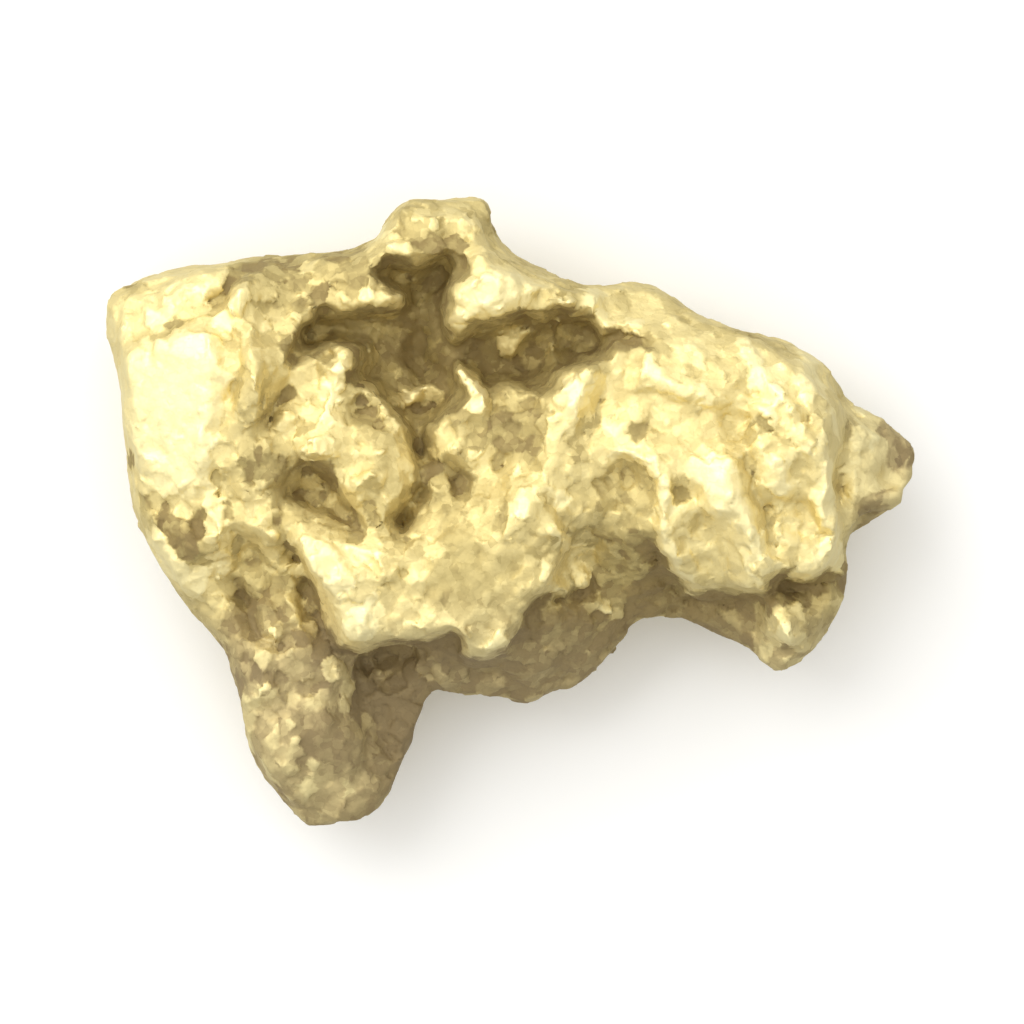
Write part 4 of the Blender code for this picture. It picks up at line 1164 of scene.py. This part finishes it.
# %% Helper: noise on the metal
def noise_in_mm(per_mm, output=0, **sockets):
    """Noise with about that many waves to the millimetre."""
    sockets = {"Vector": in_mm, "Scale": per_mm, **sockets}
    return wiring.node("ShaderNodeTexNoise", {}, sockets, output)


# %% Fine facets in the metal
# Of each size: width in millimetres, how much it leans, how much it changes the tone.
FINE_FACETS = ((0.24, 0.16, 0.26), (0.12, 0.03, 0.06))
WANDER, WANDERS_PER_MM = 0.10, 5.0  # of the cell borders
MIDDLE = (0.5, 0.5, 0.5)  # of the random colours
WEIGHTS = (0.6, 0.6, 0.6)  # of a colour's three numbers in the tone
GRAIN, GRAINS_PER_MM = 0.004, 9.0  # height of the grain in millimetres

wander = noise_in_mm(WANDERS_PER_MM, "Color", Detail=2.0)
bent = wiring.vector("MULTIPLY_ADD", wander, (2 * WANDER,) * 3, in_mm)
height, patchy = 0.0, 0.0
for width, leaning, mottling in FINE_FACETS:
    scaled = wiring.vector("SCALE", bent, Scale=1 / width)
    random = wiring.node("ShaderNodeTexVoronoi", {}, {"Vector": scaled, "Scale": 1.0}, "Color")
    lean = wiring.vector("SUBTRACT", random, MIDDLE)
    offset = wiring.vector("SUBTRACT", scaled, random.other("Position"))
    height = height + leaning * width * wiring.dot(offset, lean)
    patchy = patchy + mottling * wiring.dot(lean, WEIGHTS)
grain = noise_in_mm(GRAINS_PER_MM, Detail=3.0, Roughness=0.6)
height = height + GRAIN * grain
relief = wiring.node("ShaderNodeBump", {}, {"Height": height, "Strength": 1.0, "Distance": MM})
print("the finest facets are", FINE_FACETS[-1][0], "mm across")

# %% [markdown]
# A pale film of clay dulls the ends of the nugget: the leg, the chin and the snout. Broad
# clouds and the grain keep the tone of the metal from being even anywhere.

# %% Gold material
CLOUDS_PER_MM = 0.9
GRAIN_TONE, CLOUD_TONE = 0.06, 0.15  # how much each changes the tone
DUSTY_Y = -1.5, -4.5  # where the film of the leg and the chin begins, and is full
DUSTY_X = 8.5, 10.0  # where the film of the snout does
METALLIC = -1.0, -0.25, 0.25, 0.85  # from and to what tone, and the value at each
ROUGHNESS = -0.9, 0.9, 0.75, 0.55

cloud = noise_in_mm(CLOUDS_PER_MM, Detail=4.0)
mixed = tone + patchy + GRAIN_TONE * (grain - 0.5) + CLOUD_TONE * (cloud - 0.5)
share = 0.5 + 0.5 * mixed
x = wiring.dot(in_mm, (1.0, 0.0, 0.0))
y = wiring.dot(in_mm, (0.0, 1.0, 0.0))
dusts = {0: wiring.between(y, *DUSTY_Y), 1: wiring.between(x, *DUSTY_X)}
dust = wiring.node("ShaderNodeMath", {"operation": "MAXIMUM"}, dusts)
clean, dusty = [
    wiring.node("ShaderNodeValToRGB", {"stops": list(zip(RAMP, tones))}, {"Fac": share})
    for tones in (GOLD_TONES, DUSTY_TONES)]
# The colours of a Mix node are its sockets 6 and 7, and its colour output is number 2.
colour = wiring.node("ShaderNodeMix", {"data_type": "RGBA"},
                     {"Factor": dust, 6: clean, 7: dusty}, 2)
metallic = wiring.between(mixed, *METALLIC)
roughness = wiring.between(mixed, *ROUGHNESS)
shader = wiring.node("ShaderNodeBsdfPrincipled", {}, {
    "Base Color": colour, "Roughness": roughness, "Metallic": metallic, "Normal": relief})
wiring.node("ShaderNodeOutputMaterial", {}, {"Surface": shader})
nugget.data.materials.append(gold)
print("the gold has", len(wiring.tree.nodes), "nodes")

# %% [markdown]
# ## Floor and light
# A plain pale floor and soft light. Metal shows what is around it, so the soft box and the
# pale side of the room make its bright areas, and the dim side of the room its dark ones.
# The light comes from the upper left, which leaves the slopes under the ledges in shade.

# %% Floor
FLOOR_WIDTH = 6.0  # metres
FLOOR = {"Base Color": (0.86, 0.86, 0.85, 1.0), "Roughness": 0.9}

select_only(nugget)
bpy.ops.mesh.primitive_plane_add(size=FLOOR_WIDTH)
floor = bpy.context.object
floor.name = "floor"
floor.visible_glossy = False
pale, pale_wiring = new_wiring("pale floor")
matt = pale_wiring.node("ShaderNodeBsdfPrincipled", {}, FLOOR)
pale_wiring.node("ShaderNodeOutputMaterial", {}, {"Surface": matt})
floor.data.materials.append(pale)
print("the floor is", tuple(round(side, 1) for side in floor.dimensions[:2]), "m")

# %% Soft box
MAIN_PLACE = (-0.30, 0.30, 0.42)  # metres from the nugget, which it faces
MAIN_WIDTH, MAIN_WATTS = 0.50, 1.8

bpy.ops.object.light_add(type="AREA", location=MAIN_PLACE)
lamp = bpy.context.object
lamp.name = "main"
lamp.data.size = MAIN_WIDTH
lamp.data.energy = MAIN_WATTS
lamp.rotation_euler = Vector(MAIN_PLACE).to_track_quat("Z", "Y").to_euler()
print("the soft box is", round(lamp.location.length, 2), "m away")

# %% Surroundings
# The room is bright towards the upper left and dim towards the lower right, and what is
# straight below the nugget is a table of middling brightness.
BRIGHT_SIDE = (-0.30, 0.45, 0.84)
ROOM = -0.55, 0.65, 0.40, 1.26  # away from it and towards it, and the strength at each
TABLE = 0.0, 0.8  # how far downwards the table begins, and is all that shows
TABLE_STRENGTH = 0.50
ROOM_COLOUR = (1.0, 0.99, 0.97, 1.0)

world = bpy.data.worlds.new("studio")
world.use_nodes = True
air = Wiring(world.node_tree)
direction = air.node("ShaderNodeTexCoord", {}, {}, "Generated")
towards = air.dot(direction, BRIGHT_SIDE)
down = air.dot(direction, (0.0, 0.0, -1.0))
table = air.between(down, *TABLE)
strength = air.between(towards, *ROOM) * (1.0 - table) + TABLE_STRENGTH * table
background = air.node("ShaderNodeBackground", {}, {"Color": ROOM_COLOUR, "Strength": strength})
air.node("ShaderNodeOutputWorld", {}, {"Surface": background})
bpy.context.scene.world = world
bpy.context.scene.view_settings.view_transform = "Standard"
print("the room's light has", len(air.tree.nodes), "nodes")
